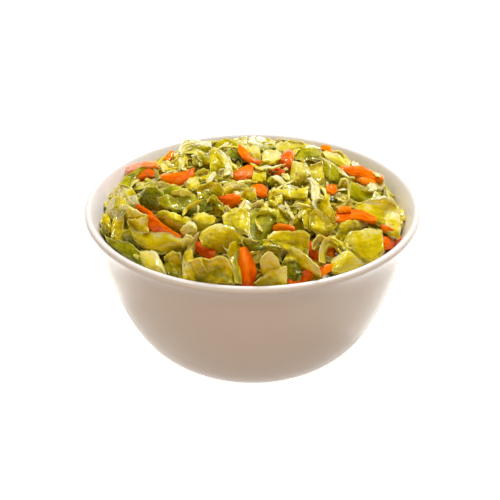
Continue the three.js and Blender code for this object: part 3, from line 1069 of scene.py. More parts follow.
BACK = {
    "dark ridge leaf": Placed("leaf", ((178, 150), (184, 142), (192, 140), (201, 141), (211, 143)),
        ((180, 155), (186, 157), (195, 153), (203, 153), (212, 152)), (1.5, 1.0), 1.5, (0.75, 0.95)),
    "pale leaf behind the ridge": Placed("leaf", ((184, 141), (188, 139.5), (193, 140.5)),
        ((182, 146), (188, 145), (193, 145)), (2.5, 1.5), 0.6, (0.0, 0.1)),
    "yellow ridge leaf": Placed("leaf", ((214, 147), (219, 141), (230, 139), (241, 142)),
        ((216, 151), (223, 152), (231, 151), (241, 150)), (1.5, 1.0), 1.5, (0.8, 0.35)),
    "cream ridge leaf": Placed("leaf", ((238, 139), (244, 137), (250, 138)),
        ((240, 147), (246, 146), (250, 147)), (1.5, 1.0), 1.0, (0.05, 0.1)),
    "green ridge strip": Placed("green", ((247, 140), (254, 136.5), (263, 138), (275, 142)),
        ((249, 144), (258, 150), (266, 152), (275, 148)), (2.5, 1.8), 1.2, (0.05, 0.2)),
    "cream leaf by the thin carrot": Placed("leaf", ((241, 147), (251, 144), (260, 148)),
        ((246, 158), (253, 165), (261, 164)), (1.6, 0.8), 1.6, (0.02, 0.15)),
    "cream square leaf": Placed("leaf", ((262, 153), (267, 150), (274, 150), (281, 153)),
        ((262, 162), (268, 164), (275, 163), (281, 159)), (2.6, 1.0), 1.6, (0.02, 0.1), 0.4, rim=0.3),
    "pale leaf at the back right": Placed("rib", ((276, 144), (286, 141), (298, 141), (306, 144)),
        ((276, 151), (286, 150), (297, 148), (306, 149)), (1.5, 1.0), 1.0, (0.6, 0.9)),
    "green strip at the back right": Placed("green",
        ((289, 149), (297, 147), (307, 147.5), (321, 151)),
        ((295, 158), (303, 159), (312, 158), (321, 158)), (2.2, 1.0), 1.5, (0.05, 0.3)),
    "cream back edge": Placed("rib", ((303, 147), (310, 145.5), (320, 147)),
        ((303, 149), (311, 149), (321, 150.5)), (2.6, 2.0), 0.4, (0.3, 0.7)),
    "yellow slanted leaf": Placed("leaf", ((322, 151), (331, 152), (341, 156), (350, 163)),
        ((326, 158), (333, 163), (341, 168), (350, 169)), (2.4, 1.0), 1.6, (0.15, 0.3)),
    "clear leaf at the back right": Placed("rib", ((331, 150), (340, 151), (346, 156), (352, 163)),
        ((333, 153), (340, 155), (346, 160), (352, 166)), (3.2, 2.4), 0.5, (0.9, 1.0)),
    "white cell": Placed("rib", ((351, 161), (355, 162), (362, 167)),
        ((351, 167), (356, 168), (362, 169)), (2.4, 1.6), 0.8, (0.0, 0.1)),
    "folded green leaf": Placed("green", ((225, 152), (232, 149.5), (240, 151)),
        ((231, 159), (236, 163), (242, 163)), (1.2, 0.6), 1.2, (0.6, 0.9)),
    "yellow rib beside the green leaf": Placed("leaf",
        ((222, 151), (230, 157), (235, 163), (240, 170)),
        ((221, 152.5), (228, 158), (232, 166), (236, 172)), (3.2, 2.4), 0.5, (0.1, 0.3), 0.8),
    "white rib fold": Placed("rib", ((215, 147), (222, 151), (229, 157), (232, 164), (232, 174)),
        ((214, 150), (219, 155), (223, 161), (225, 168), (224, 176)), (3.6, 2.6), 1.2, (0.0, 0.1), 0.9),
    "lower white rib": Placed("rib", ((219, 170), (225, 168), (233, 170)),
        ((217, 177), (225, 178), (233, 177)), (2.2, 1.0), 1.2, (0.15, 0.3)),
    "khaki leaf by the rib": Placed("leaf", ((209, 151), (214, 148), (219, 152), (225, 160)),
        ((210, 170), (215, 174), (220, 172), (225, 168)), (2.4, 0.8), 1.8, (0.45, 0.35)),
    "olive leaf left of the rib": Placed("leaf", ((192, 157), (196, 152), (202, 152.5), (209, 155)),
        ((193, 165), (199, 168), (205, 166), (210, 163)), (2.6, 0.8), 1.4, (0.9, 0.8)),
    "pale leaf under it": Placed("leaf", ((196, 172), (202, 169), (212, 171)),
        ((197, 179), (204, 180), (210, 179)), (1.6, 0.6), 1.0, (0.0, 0.2)),
    "white stick": Placed("rib", ((206, 181), (210, 175), (214, 171)),
        ((209, 184), (213, 179), (217, 173)), (3.2, 2.6), 0.6, (0.0, 0.0), 0.9),
    "tiny back carrot": Placed("carrot", ((321, 148), (326, 146.5), (332, 150)),
        ((322, 151), (327, 153), (333, 155)), (2.6, 2.0), 0.2, (0.9, 0.9)),
    "thin slanting carrot": Placed("carrot", ((239, 145), (245, 150), (249, 157), (256, 163)),
        ((238, 154), (243, 160), (249, 163), (256, 167)), (3.0, 2.2), 0.3, (0.7, 0.5)),
    "carrot thread": Placed("carrot", ((255, 162.5), (263, 162), (272, 163)),
        ((255, 166), (263, 165.5), (272, 165)), (2.6, 2.2), 0.0, (0.4, 0.3)),
    "upright back carrot": Placed("carrot", ((279, 160), (285, 153), (289, 150.5), (294, 154)),
        ((282, 165), (286, 170), (290, 171), (294, 163)), (2.8, 1.4), 0.5, (0.1, 0.5)),
    "short back carrot": Placed("carrot", ((270, 172), (277, 170), (285, 172)),
        ((274, 174), (280, 177), (287, 178)), (2.0, 1.4), 0.2, (0.2, 0.1)),
    # a pale strip along a lit leaf edge: partly a real pale rib, partly painted highlight
    "pale thread": Placed("rib", ((255, 167), (266, 165.5), (276, 163.5), (285, 162.5)),
        ((256, 170), (266, 169), (277, 167), (286, 166)), (3.4, 2.8), 0.2, (0.3, 0.2)),
    "carrot under the pale thread": Placed("carrot",
        ((233, 176), (240, 170), (247, 166.5), (254, 166.5)),
        ((234, 179), (241, 181), (247, 180), (252, 178)), (3.0, 1.8), 0.4, (0.35, 0.6)),
    "clear leaf beside the carrot": Placed("leaf", ((253, 171), (258, 169), (266, 171)),
        ((252, 180), (258, 183), (266, 181)), (1.6, 0.8), 1.2, (0.1, 0.3)),
}

BACK_LEFT = {
    "back left carrot": Placed("carrot", ((127, 168.5), (133, 165), (144, 162.5), (158, 163)),
        ((127.5, 175), (134, 172), (144, 169), (158, 168)), (2.2, 1.4), 0.3, (0.6, 0.9)),
    "green arched leaf": Placed("green",
        ((120, 184), (125, 177), (132, 172), (141, 167.5), (150, 166.5), (156, 169.5), (161, 178)),
        ((129, 187), (132, 181), (137, 176), (143, 172.5), (149, 170.5), (153, 173), (157, 180)),
        (3.4, 2.4), 0.8, (0.2, 0.55)),
    "carrot in the arch": Placed("carrot", ((138, 176), (144, 171.5), (150, 170), (156, 173)),
        ((139, 180), (145, 179), (151, 178), (156, 178)), (1.2, 0.8), 0.2, (0.5, 0.3)),
    "pale leaf below the arch": Placed("leaf", ((136, 184), (148, 180.5), (160, 181), (170, 184)),
        ((137, 189), (149, 188), (160, 187), (170, 187)), (2.2, 1.2), 0.8, (0.05, 0.1)),
    "small slanting carrot": Placed("carrot", ((164, 160.5), (167, 156), (171, 152)),
        ((167, 162.5), (171, 161), (174, 153)), (2.6, 1.8), 0.2, (0.8, 0.7)),
    "cream leaf at the back left": Placed("leaf", ((160, 165), (166, 161), (172, 161), (178, 157)),
        ((162, 171), (168, 171), (174, 169), (179, 164)), (2.0, 0.8), 1.4, (0.0, 0.25)),
    "olive leaf at the back left": Placed("leaf", ((174, 154), (179, 152), (187, 156)),
        ((176, 168), (181, 169), (188, 165)), (1.6, 0.6), 1.4, (0.5, 0.4)),
    "cream curved rib": Placed("rib", ((178, 171), (179, 164), (178, 157)),
        ((182, 172), (184, 165), (183, 157)), (3.0, 2.4), 0.3, (0.4, 0.5)),
    # a dark green strip laid in the shade above the broad carrot: painted shade
    "strip of painted shade over the carrot": Placed("green", ((168, 172), (176, 169), (187, 170)),
        ((170, 175), (178, 175.5), (188, 174)), (1.4, 1.0), 0.4, (0.85, 0.95)),
    "broad back carrot": Placed("carrot",
        ((159, 177), (168, 175), (180, 173.5), (188, 172), (195, 169)),
        ((162, 181), (171, 184.5), (178, 186), (186, 184.5), (193, 177)), (3.4, 2.2), 0.4, (0.75, 0.3)),
    "pale leaf right of the carrot": Placed("leaf", ((184, 184), (190, 178), (197, 176)),
        ((187, 190), (194, 189), (200, 185)), (2.2, 1.2), 1.0, (0.1, 0.2)),
    "pale edge leaf": Placed("leaf", ((110, 196), (116, 187), (122, 182), (130, 184)),
        ((113, 200), (120, 199), (128, 197), (135, 193)), (1.8, 0.8), 1.4, (0.1, 0.05), 0.3),
    "left olive leaf": Placed("leaf", ((108, 203), (113, 197), (119, 196.5), (125, 199)),
        ((105, 213), (113, 217), (120, 216), (126, 212)), (2.6, 0.8), 1.6, (0.6, 0.8)),
    "cream bits at the left": Placed("rib", ((122, 199), (130, 196), (137, 196)),
        ((125, 205), (132, 206), (139, 204)), (2.2, 1.2), 0.9, (0.7, 0.6)),
    "dark body of the big leaf": Placed("green",
        ((157, 190), (168, 186.5), (180, 187), (192, 192), (199, 199)),
        ((156, 208), (166, 211), (175, 214), (186, 217), (197, 213)), (2.6, 1.2), 1.6, (0.6, 0.4), 0.3),
    "dark lobe of the big leaf": Placed("green", ((140, 193), (146, 187.5), (155, 187), (163, 191)),
        ((140, 203), (149, 209), (159, 211), (168, 214)), (3.8, 1.6), 2.0, (0.85, 0.6), 0.2),
    "light fold on the big leaf": Placed("green", ((157, 198), (166, 195), (176, 198), (187, 204)),
        ((160, 205), (168, 208), (177, 211), (188, 213)), (4.4, 2.2), 1.6, (0.1, 0.3), 0.3, rim=0.3),
    "pale fold on the big leaf": Placed("leaf", ((171, 192), (180, 189.5), (191, 192)),
        ((174, 200), (182, 203), (192, 202)), (4.6, 3.0), 1.4, (0.35, 0.1), 0.2),
    "dark leaf tail": Placed("green", ((188, 203), (196, 200), (206, 199), (212, 203)),
        ((186, 214), (194, 215), (204, 213), (212, 211)), (2.8, 1.0), 1.2, (0.9, 0.7)),
    "pale midrib": Placed("leaf", ((181, 214), (184, 209), (190, 204), (201, 199)),
        ((184, 217), (187, 211), (193, 206), (203, 201)), (5.0, 4.4), 0.2, (0.35, 0.5), 0.6),
}

LEFT = {
    "left upright chunk": Placed("leaf", ((112, 223), (116, 215.5), (124, 214.5)),
        ((111, 237), (117, 240), (123, 238)), (2.6, 0.8), 1.6, (0.5, 0.45), 0.3),
    "far left strip": Placed("leaf", ((101, 222), (104, 214), (109, 213)),
        ((103, 234), (107, 236), (112, 232)), (1.5, 0.6), 1.0, (0.7, 0.5)),
    "green leaf along the lip": Placed("green",
        ((105, 236), (113, 239), (124, 241), (134, 246), (141, 254)),
        ((107, 241), (116, 249), (126, 256), (135, 261), (143, 265)), (1.8, 0.8), 1.4, (0.2, 0.7)),
    "dark leaf behind it": Placed("green", ((122, 232), (128, 229), (135, 236)),
        ((121, 243), (130, 248), (140, 250)), (0.6, 0.4), 1.0, (0.8, 0.7)),
    # the pale edge of this leaf is its rim, a painted highlight
    "yellow leaf with a painted highlight edge": Placed("leaf", ((122, 204), (131, 206.5), (138, 211), (148, 216)),
        ((123, 212), (129, 217), (137, 219), (148, 220)), (3.4, 2.0), 1.2, (0.3, 0.2), 0.2, rim=0.45),
    "turned end of the fold": Placed("leaf", ((128, 219.5), (136, 219), (148, 215.5)),
        ((129, 224), (138, 230), (149, 232)), (3.4, 2.4), 0.8, (0.45, 0.4)),
    "yellow folded ribbon": Placed("leaf",
        ((127, 220.5), (134, 227.5), (147, 230.5), (160, 232), (172, 233), (185, 242)),
        ((128, 223.5), (133, 236), (142, 246), (154, 251), (170, 251), (185, 248)), (4.2, 1.2), 2.2,
        (0.1, 0.45), rim=0.3),
    "olive leaf under the long carrot": Placed("leaf",
        ((158, 211), (168, 211), (179, 215), (191, 219)),
        ((158, 222), (168, 229), (178, 233), (188, 230)), (1.6, 0.8), 1.4, (0.85, 0.7)),
    "root of the long carrot": Placed("carrot", ((137, 205), (144, 208.5), (151, 213), (157, 219)),
        ((137.5, 210), (143, 213), (148, 215), (153, 219)), (3.0, 2.4), 0.2, (0.05, 0.5)),
    "long carrot": Placed("carrot", ((148.5, 215), (156, 218), (164, 225), (173, 231), (182, 236.5)),
        ((149, 228), (154, 231.5), (163, 231), (172, 235), (180, 239.5)), (4.4, 3.4), 0.5, (0.2, 0.75)),
    "cream chunk at the lip": Placed("rib",
        ((140, 252), (148, 250.5), (156, 252.5), (161, 261), (167, 274)),
        ((140, 259), (144, 265), (150, 269), (157, 272), (164, 275)), (2.6, 1.0), 1.4, (0.8, 0.6)),
    "olive chunk at the lip": Placed("leaf", ((164, 257), (170, 252), (181, 253)),
        ((166, 270), (172, 276), (182, 278)), (1.4, 0.6), 1.4, (0.8, 0.9)),
    "small pale end": Placed("rib", ((132, 257), (135, 254.5), (139, 256)),
        ((133, 261), (136, 263), (141, 264)), (2.4, 1.8), 0.8, (0.8, 0.9)),
    "cream ribbed leaf": Placed("leaf", ((182, 262), (185, 252), (192, 248)),
        ((183, 280), (188, 281), (196, 281)), (2.4, 1.2), 1.4, (0.05, 0.1), 0.5),
    "thin rib going up": Placed("rib", ((185, 250), (192, 240), (197, 231.5)),
        ((189, 253), (196, 242), (200, 234)), (4.2, 3.6), 0.4, (0.3, 0.2)),
    "pale chunk with a white end": Placed("rib", ((180, 230), (186, 223.5), (192, 221.5), (197, 227)),
        ((182, 235), (188, 238), (193, 237), (197, 232)), (3.2, 2.0), 1.2, (0.7, 0.5)),
    "ribs below the white end": Placed("rib", ((182, 240), (187, 234.5), (194, 238)),
        ((182, 247), (187, 246), (192, 245)), (3.0, 2.0), 1.0, (0.5, 0.7)),
}

MIDDLE = {
    "brown clear leaf": Placed("leaf", ((197, 187), (206, 183), (216, 182.5), (224, 188)),
        ((198, 199), (206, 198), (216, 201), (223, 206)), (2.2, 0.8), 1.8, (0.6, 0.75)),
    "pale green line": Placed("rib", ((214, 180), (230, 182), (244, 180.5), (257, 180.5)),
        ((214, 182), (230, 184.5), (244, 183), (257, 183)), (3.4, 3.0), 0.2, (0.6, 0.5)),
    "yellow dome": Placed("leaf", ((222, 187), (229, 182.5), (240, 182), (249, 187)),
        ((224, 198), (231, 197), (240, 195), (249, 192)), (2.6, 0.8), 2.0, (0.3, 0.25), 0.3),
    "khaki chunk": Placed("leaf", ((239, 196), (245, 189), (255, 187)),
        ((241, 201), (248, 202), (257, 199)), (2.4, 0.8), 1.4, (0.55, 0.45), 0.3),
    "middle carrot": Placed("carrot", ((218, 198), (226, 196), (234, 194), (241, 198)),
        ((221, 203), (226, 206), (231, 208), (240, 202)), (3.6, 2.4), 0.5, (0.1, 0.8)),
    "round carrot end": Placed("carrot", ((251.5, 189), (256, 185.5), (262, 185.5), (267, 191)),
        ((253, 193), (257, 196.5), (262, 198), (267, 196)), (3.4, 2.4), 0.6, (0.6, 0.4)),
    "three cornered leaf": Placed("leaf", ((207, 202), (213, 194.5), (218, 199), (224, 208)),
        ((206, 209), (212, 211), (218, 211), (224, 212)), (3.0, 1.2), 1.0, (0.7, 0.7)),
    "grey green plane": Placed("leaf", ((193, 217), (200, 212.5), (208, 214), (216, 218)),
        ((191, 224), (198, 231), (206, 230), (214, 224)), (3.0, 1.4), 0.8, (0.75, 0.5), 0.5, rim=0.4),
    "white upright rib": Placed("rib", ((223, 212), (225, 206), (228, 206)),
        ((224, 215), (228, 214), (231, 210)), (4.0, 3.0), 0.5, (0.1, 0.2)),
    "white crumbs": Placed("rib", ((238, 206), (244, 201), (252, 203), (263, 199)),
        ((240, 211), (246, 211), (255, 211), (265, 208)), (2.0, 1.0), 1.2, (0.3, 0.5)),
    "green centre leaf": Placed("green", ((245, 216), (252, 210), (262, 208), (271, 209), (278, 215)),
        ((242, 241), (250, 248), (258, 249), (266, 243), (273, 230)), (3.4, 1.0), 2.2, (0.5, 0.35),
        rim=0.5),
    "lower fold of the centre leaf": Placed("green", ((243, 237), (251, 239), (260, 241), (267, 239)),
        ((244, 250), (252, 251), (260, 250), (266, 248)), (3.2, 1.8), 1.6, (0.75, 0.55)),
    "light turn of the centre leaf": Placed("green", ((256, 213), (264, 209), (272, 209), (279, 213)),
        ((257, 220), (264, 219), (271, 218), (277, 219)), (4.8, 2.6), 1.2, (0.2, 0.1), 0.4, rim=0.3),
    "yellow centre leaf": Placed("leaf", ((222, 216), (229, 210.5), (240, 208), (250, 213)),
        ((224, 225), (232, 229), (242, 231), (250, 235)), (3.8, 2.0), 1.8, (0.65, 0.55)),
    "centre leaf vein": Placed("leaf", ((255, 216), (256, 224), (261, 232)),
        ((257, 216), (259, 223), (264, 232)), (5.6, 5.0), 0.1, (0.3, 0.5), 0.3),
    "small flat carrot": Placed("carrot", ((272, 227), (280, 224), (288, 225.5), (295, 229)),
        ((273, 230.5), (280, 232.5), (288, 233), (295, 231.5)), (4.2, 3.4), 0.3, (0.9, 0.6)),
    "speckled leaf": Placed("leaf", ((268, 193), (273, 188), (282, 190)),
        ((269, 206), (275, 211), (283, 208)), (2.2, 0.8), 1.6, (0.6, 0.4), 0.5),
    "yellow strip": Placed("leaf", ((271, 191), (284, 189), (297, 188), (308, 190)),
        ((272, 197), (284, 199), (297, 199), (307, 199)), (3.0, 1.4), 1.0, (0.35, 0.45)),
    # a pale strip along a lit leaf edge: partly a real pale rib, partly painted highlight
    "slanting rib and painted highlight": Placed("rib", ((271, 173), (280, 177), (288, 184), (298, 186)),
        ((271, 177), (278, 182), (286, 188), (298, 190)), (3.8, 3.0), 0.5, (0.0, 0.15), 0.8),
    "green leaf under the rib": Placed("green", ((267, 179), (273, 176), (281, 183)),
        ((268, 185), (275, 189), (282, 190)), (2.0, 1.0), 1.2, (0.2, 0.3)),
    "yellow leaf above the rib": Placed("leaf", ((281, 174), (287, 174), (293, 178)),
        ((284, 183), (289, 185), (294, 185)), (2.4, 1.6), 0.8, (0.2, 0.2)),
    "tall tan chunk": Placed("rib", ((292, 161), (298, 159), (305, 160)),
        ((290, 180), (297, 185), (305, 182)), (3.6, 0.8), 1.8, (0.95, 0.85), rim=0.25),
    "tall grey green chunk": Placed("leaf", ((310, 161), (315, 159), (322, 161)),
        ((310, 179), (317, 184), (324, 178)), (3.8, 0.8), 1.8, (0.55, 0.5), 0.7, rim=0.3),
    # a pale strip along a lit leaf edge: partly a real pale rib, partly painted highlight
    "curl between the chunks": Placed("rib", ((304, 160), (303, 168), (309, 175)),
        ((307, 161), (307, 168), (312, 174)), (4.0, 3.6), 0.3, (0.3, 0.2)),
    # a pale strip along a lit leaf edge: partly a real pale rib, partly painted highlight
    "bright rib and painted highlight": Placed("rib", ((306, 178), (311, 184), (311, 192), (312, 200)),
        ((310, 178), (317, 183), (319, 192), (317, 200)), (3.8, 3.0), 0.7, (0.0, 0.0), 0.9),
    "white ribbon arc": Placed("rib", ((313, 208), (312, 202), (317, 197), (323, 197)),
        ((318, 210), (316, 204), (319, 200), (324, 200)), (4.0, 3.6), 0.3, (0.05, 0.2)),
    "thin white arc": Placed("rib", ((284, 202), (287, 210), (293, 220)),
        ((286, 202), (290, 210), (296, 219)), (3.8, 3.4), 0.2, (0.1, 0.2)),
    "pale short rib": Placed("rib", ((297, 214), (300, 211), (305, 211)),
        ((299, 220), (302, 217), (306, 214)), (3.0, 2.4), 0.3, (0.5, 0.6)),
    "olive upright leaf": Placed("leaf", ((299, 204), (305, 199), (313, 201)),
        ((304, 226), (311, 228), (318, 222)), (2.4, 0.8), 1.6, (0.75, 0.6)),
    "leaf left of the white arc": Placed("leaf", ((272, 210), (278, 207), (285, 212)),
        ((277, 222), (284, 225), (292, 224)), (1.6, 0.8), 1.2, (0.7, 0.9)),
}

RIGHT = {
    "green leaf behind the big carrot": Placed("green",
        ((323, 163), (330, 164), (338, 169), (345, 177)),
        ((325, 178), (330, 182), (337, 183), (344, 181)), (2.6, 1.0), 1.6, (0.15, 0.4)),
    # a pale strip along a lit leaf edge: partly a real pale rib, partly painted highlight
    "long rib and painted highlight": Placed("rib", ((321, 156), (331, 162), (341, 169), (350, 176)),
        ((321, 159), (330, 166), (339, 172), (348, 179)), (3.8, 3.4), 0.3, (0.4, 0.3)),
    "big carrot": Placed("carrot",
        ((339, 168), (349, 167.5), (361, 167), (367, 170), (375, 173.5), (384, 178.5)),
        ((342, 171), (350, 176), (358, 176.5), (364, 180), (373, 181), (383, 181)), (3.6, 2.8), 0.5,
        (0.45, 0.6)),
    "its lower slice": Placed("carrot", ((355, 176), (364, 178), (375, 180)),
        ((357, 180), (364, 185.5), (375, 185)), (2.4, 1.6), 0.2, (0.9, 0.9)),
    "pale edge over the carrot": Placed("rib", ((362, 167), (372, 171), (381, 176)),
        ((363, 169), (371, 173), (380, 178)), (4.6, 4.4), 0.2, (0.3, 0.3)),
    "white round end": Placed("rib", ((366, 187), (370, 183), (376, 184)),
        ((368, 191), (372, 192), (377, 189)), (3.2, 2.6), 0.8, (0.2, 0.0)),
    "cream chunk beside it": Placed("rib", ((374, 181), (379, 179), (384, 181)),
        ((376, 188), (381, 189), (385, 187)), (2.2, 1.4), 0.8, (0.9, 0.8)),
    "green leaf under the big carrot": Placed("green",
        ((350, 183), (358, 186), (368, 191), (380, 192)),
        ((349, 199), (360, 201), (370, 201), (382, 201)), (2.6, 0.8), 1.4, (0.1, 0.25)),
    "pale thin edge": Placed("rib", ((350, 180), (358, 184), (366, 189), (374, 190)),
        ((350, 183), (357, 187), (365, 191), (374, 192)), (3.6, 3.2), 0.2, (0.8, 0.6)),
    # the darkest leaf colour, sunk low inside the thin loop: painted shade of its hollow
    "leaf of painted shade in the loop's hollow": Placed("leaf", ((337, 186), (342, 180), (347, 184)),
        ((336, 194), (342, 197), (348, 197)), (0.8, 0.4), 0.6, (1.0, 1.0)),
    "thin loop": Placed("rib",
        ((338, 186), (341, 179), (345, 177.5), (349, 184), (350, 192), (350, 201)),
        ((340, 187), (343, 181.5), (345, 180.5), (347, 185), (347.5, 193), (347.5, 201)), (4.2, 4.0),
        0.2, (0.8, 0.9)),
    "round carrot piece": Placed("carrot", ((325.5, 190), (330, 185.5), (336, 186.5)),
        ((327, 193.5), (331, 195.5), (336, 193)), (3.2, 2.4), 0.4, (0.7, 0.5)),
    "white bits by the carrot": Placed("rib", ((334, 194), (339, 192.5), (347, 197)),
        ((335, 198), (341, 201), (349, 202)), (2.6, 1.8), 0.7, (0.1, 0.4)),
    "yellow curled leaf": Placed("leaf",
        ((354, 206), (363, 201), (375, 199.5), (388, 201), (399, 206)),
        ((357, 213), (366, 216), (376, 222), (388, 227), (400, 233)), (4.0, 1.4), 2.0, (0.55, 0.35)),
    # a pale strip along a lit leaf edge: partly a real pale rib, partly painted highlight
    "wet rib and painted highlight at the right": Placed("rib", ((376, 198), (384, 196.5), (391, 199), (398, 204)),
        ((376, 200.5), (384, 200.5), (390, 203), (396, 207)), (5.0, 4.6), 0.3, (0.3, 0.2)),
    "leaf down the right wall": Placed("leaf", ((386, 218), (393, 214), (400, 215)),
        ((384, 229), (392, 235), (399, 237)), (3.4, 2.4), 0.8, (0.35, 0.2), 0.3),
    "long straight carrot": Placed("carrot",
        ((335.5, 214), (342, 211), (354, 210), (363, 211.5), (370, 215.5), (377, 220.5)),
        ((336, 222), (343, 223.5), (352, 220.5), (361, 220.5), (368, 223), (376, 222.5)), (5.2, 4.4),
        0.5, (0.45, 0.6)),
    "slice on top of it": Placed("carrot", ((337, 209), (343, 207), (350, 208.5)),
        ((337, 212.5), (344, 212.5), (351, 211.5)), (5.0, 4.6), 0.2, (0.8, 0.9)),
    "amber leaf": Placed("leaf", ((338, 224), (346, 221), (354, 220), (361, 223)),
        ((336, 236), (344, 240), (353, 236), (362, 230)), (2.4, 1.2), 1.4, (0.75, 0.6)),
    "wide right leaf": Placed("leaf", ((343, 243), (349, 233), (360, 230), (372, 228.5), (382, 231)),
        ((345, 250), (355, 254), (367, 261), (377, 259), (384, 250)), (4.4, 1.6), 2.2, (0.6, 0.25),
        rim=0.2),
    "looped yellow leaf": Placed("leaf", ((310, 213), (317, 209), (325, 215), (331, 220), (337, 222)),
        ((309, 226), (316, 231), (325, 233), (332, 231), (337, 226)), (4.2, 1.8), 1.8, (0.6, 0.35),
        rim=0.4),
    "loop's upper band": Placed("leaf", ((322, 199), (327, 198), (331, 206), (334, 213), (337, 220)),
        ((319, 205), (322, 210), (326, 214), (331, 219), (335, 222)), (4.6, 4.0), 0.8, (0.4, 0.35)),
    "arch of ribs": Placed("leaf",
        ((319, 262), (320, 248), (325, 239), (332, 237), (340, 243), (345, 251)),
        ((325, 263), (325, 253), (329, 247), (334, 247), (339, 252), (341, 260)), (4.2, 3.0), 0.9,
        (0.15, 0.25), 0.7),
    "small arch": Placed("rib", ((311, 248), (314, 240), (320, 235), (326, 236)),
        ((315, 251), (317, 245), (322, 241), (326, 241)), (3.6, 2.8), 0.6, (0.7, 0.6)),
    # the darkest carrot colour, standing for the shade in the hollow: painted shade
    "carrot in painted shade in the hollow": Placed("carrot", ((308, 245), (311, 242), (315, 246)),
        ((309, 256), (314, 259), (319, 260)), (1.2, 0.6), 0.3, (0.0, 0.0)),
    "pale leaf under the arch": Placed("leaf", ((326, 232), (333, 230), (341, 238)),
        ((331, 241), (338, 246), (346, 250)), (2.6, 1.8), 1.0, (0.4, 0.3), 0.5),
    "clear chunk at the right": Placed("leaf",
        ((331, 261), (339, 254), (350, 251), (360, 256), (368, 261)),
        ((332, 272), (341, 275), (350, 273), (359, 270), (368, 265)), (3.0, 1.2), 1.8, (0.25, 0.05),
        0.7),
    "right lip carrot": Placed("carrot", ((382, 237), (388, 238), (393, 243)),
        ((382, 251), (387, 249), (392, 248)), (2.4, 1.4), 0.3, (0.3, 0.2)),
    "carrot against the wall": Placed("carrot", ((391, 246), (395, 240), (400, 236)),
        ((393, 250), (397, 246), (401, 240)), (2.0, 1.4), 0.2, (0.1, 0.1)),
    "carrot in the curled leaf": Placed("carrot", ((380, 226), (387, 227), (396, 233)),
        ((382, 229), (388, 232), (396, 237)), (4.2, 3.6), 0.2, (0.6, 0.5)),
}

FRONT = {
    "dome leaf": Placed("leaf",
        ((199, 238), (204, 230), (213, 225), (224, 225), (234, 227.5), (241, 231.5), (243, 238)),
        ((202, 244), (209, 248), (216, 250), (223, 250), (230, 249), (236, 246), (241, 244)),
        (5.0, 1.8), 2.4, (0.45, 0.55), rim=0.35),
    "stalk of the dome leaf": Placed("leaf", ((230, 243), (228, 254), (232, 266), (235, 284)),
        ((243, 238), (241, 252), (240, 266), (241, 284)), (3.4, 1.6), 1.0, (0.75, 0.8)),
    "dark wet carrot": Placed("carrot", ((196, 243), (203, 243), (210, 247), (215, 253)),
        ((196, 250), (203, 256), (209, 260), (215, 260)), (2.0, 1.4), 0.3, (0.0, 0.1)),
    "wet front leaf": Placed("leaf",
        ((188, 262), (196, 258), (208, 259), (220, 256), (228, 260), (233, 270), (235, 281)),
        ((188, 279), (197, 281), (206, 282), (215, 283), (223, 284), (230, 284), (235, 284.5)),
        (4.0, 1.4), 1.8, (0.6, 0.9), rim=0.2),
    # a pale strip laid on the wet front leaf: partly a real pale rib, partly painted highlight
    "pale streak": Placed("rib", ((199, 258), (204, 267), (211, 275), (220, 281)),
        ((201, 258), (206, 266), (213, 273), (222, 279)), (5.6, 5.0), 0.1, (0.7, 0.8)),
    "glazed upright carrot": Placed("carrot",
        ((241, 248), (240, 257), (239, 266), (240, 275), (240, 286)),
        ((245, 247), (250, 255), (254, 264), (256, 272), (253, 286)), (4.6, 3.6), 0.8, (0.75, 0.15)),
    "foot of the wet chunk": Placed("leaf",
        ((254, 283), (262, 277), (271, 271), (280, 268), (287, 266)),
        ((256, 285), (264, 285), (272, 284), (280, 283), (287, 282)), (3.0, 1.4), 1.6, (0.35, 0.15),
        0.8),
    "wet chunk at the front": Placed("leaf",
        ((260, 262), (264, 254), (271, 252), (277, 258), (281, 268)),
        ((261, 271), (265, 277), (270, 280), (276, 277), (281, 273)), (4.6, 2.2), 2.0, (0.1, 0.2), 0.5,
        rim=0.3),
    "pale sliver": Placed("rib", ((250, 252), (256, 251), (264, 250)),
        ((251, 254), (257, 253.5), (264, 253)), (3.6, 3.2), 0.2, (0.6, 0.7)),
    "olive leaf at the front": Placed("leaf", ((263, 240), (272, 238), (282, 240)),
        ((262, 249), (272, 251), (282, 252)), (2.8, 1.6), 1.2, (0.85, 0.8)),
    "yellow front leaf": Placed("leaf",
        ((267, 237), (276, 231), (289, 231.5), (301, 230.5), (310, 234)),
        ((274, 243), (282, 247), (291, 251), (300, 254), (308, 257)), (4.2, 2.2), 1.4, (0.5, 0.55)),
    "tail of the yellow leaf": Placed("leaf",
        ((291, 247), (301, 251), (310, 259), (317, 265), (322, 271)),
        ((284, 260), (294, 262), (303, 268), (311, 275), (320, 279)), (5.0, 3.4), 1.0, (0.3, 0.1),
        rim=0.35),
    "dark leaf under the tail": Placed("green", ((283, 262), (290, 258), (298, 263)),
        ((285, 279), (293, 281), (303, 274)), (2.2, 1.0), 1.2, (0.5, 0.8)),
    "front lip carrot": Placed("carrot",
        ((287, 281), (296, 276.5), (303, 272), (309, 270), (313, 273)),
        ((288, 285), (298, 284), (305, 281), (309, 279), (313, 277)), (4.0, 3.2), 0.3, (0.3, 0.2)),
    "short front carrot": Placed("carrot", ((318, 272), (324, 266), (332, 265)),
        ((320, 276), (326, 273), (333, 269)), (4.4, 3.6), 0.2, (0.7, 0.8)),
    "white bits at the lip": Placed("rib", ((320, 275), (324, 273), (329, 275)),
        ((321, 279), (325, 280), (330, 279)), (3.0, 2.4), 0.5, (0.1, 0.2)),
}

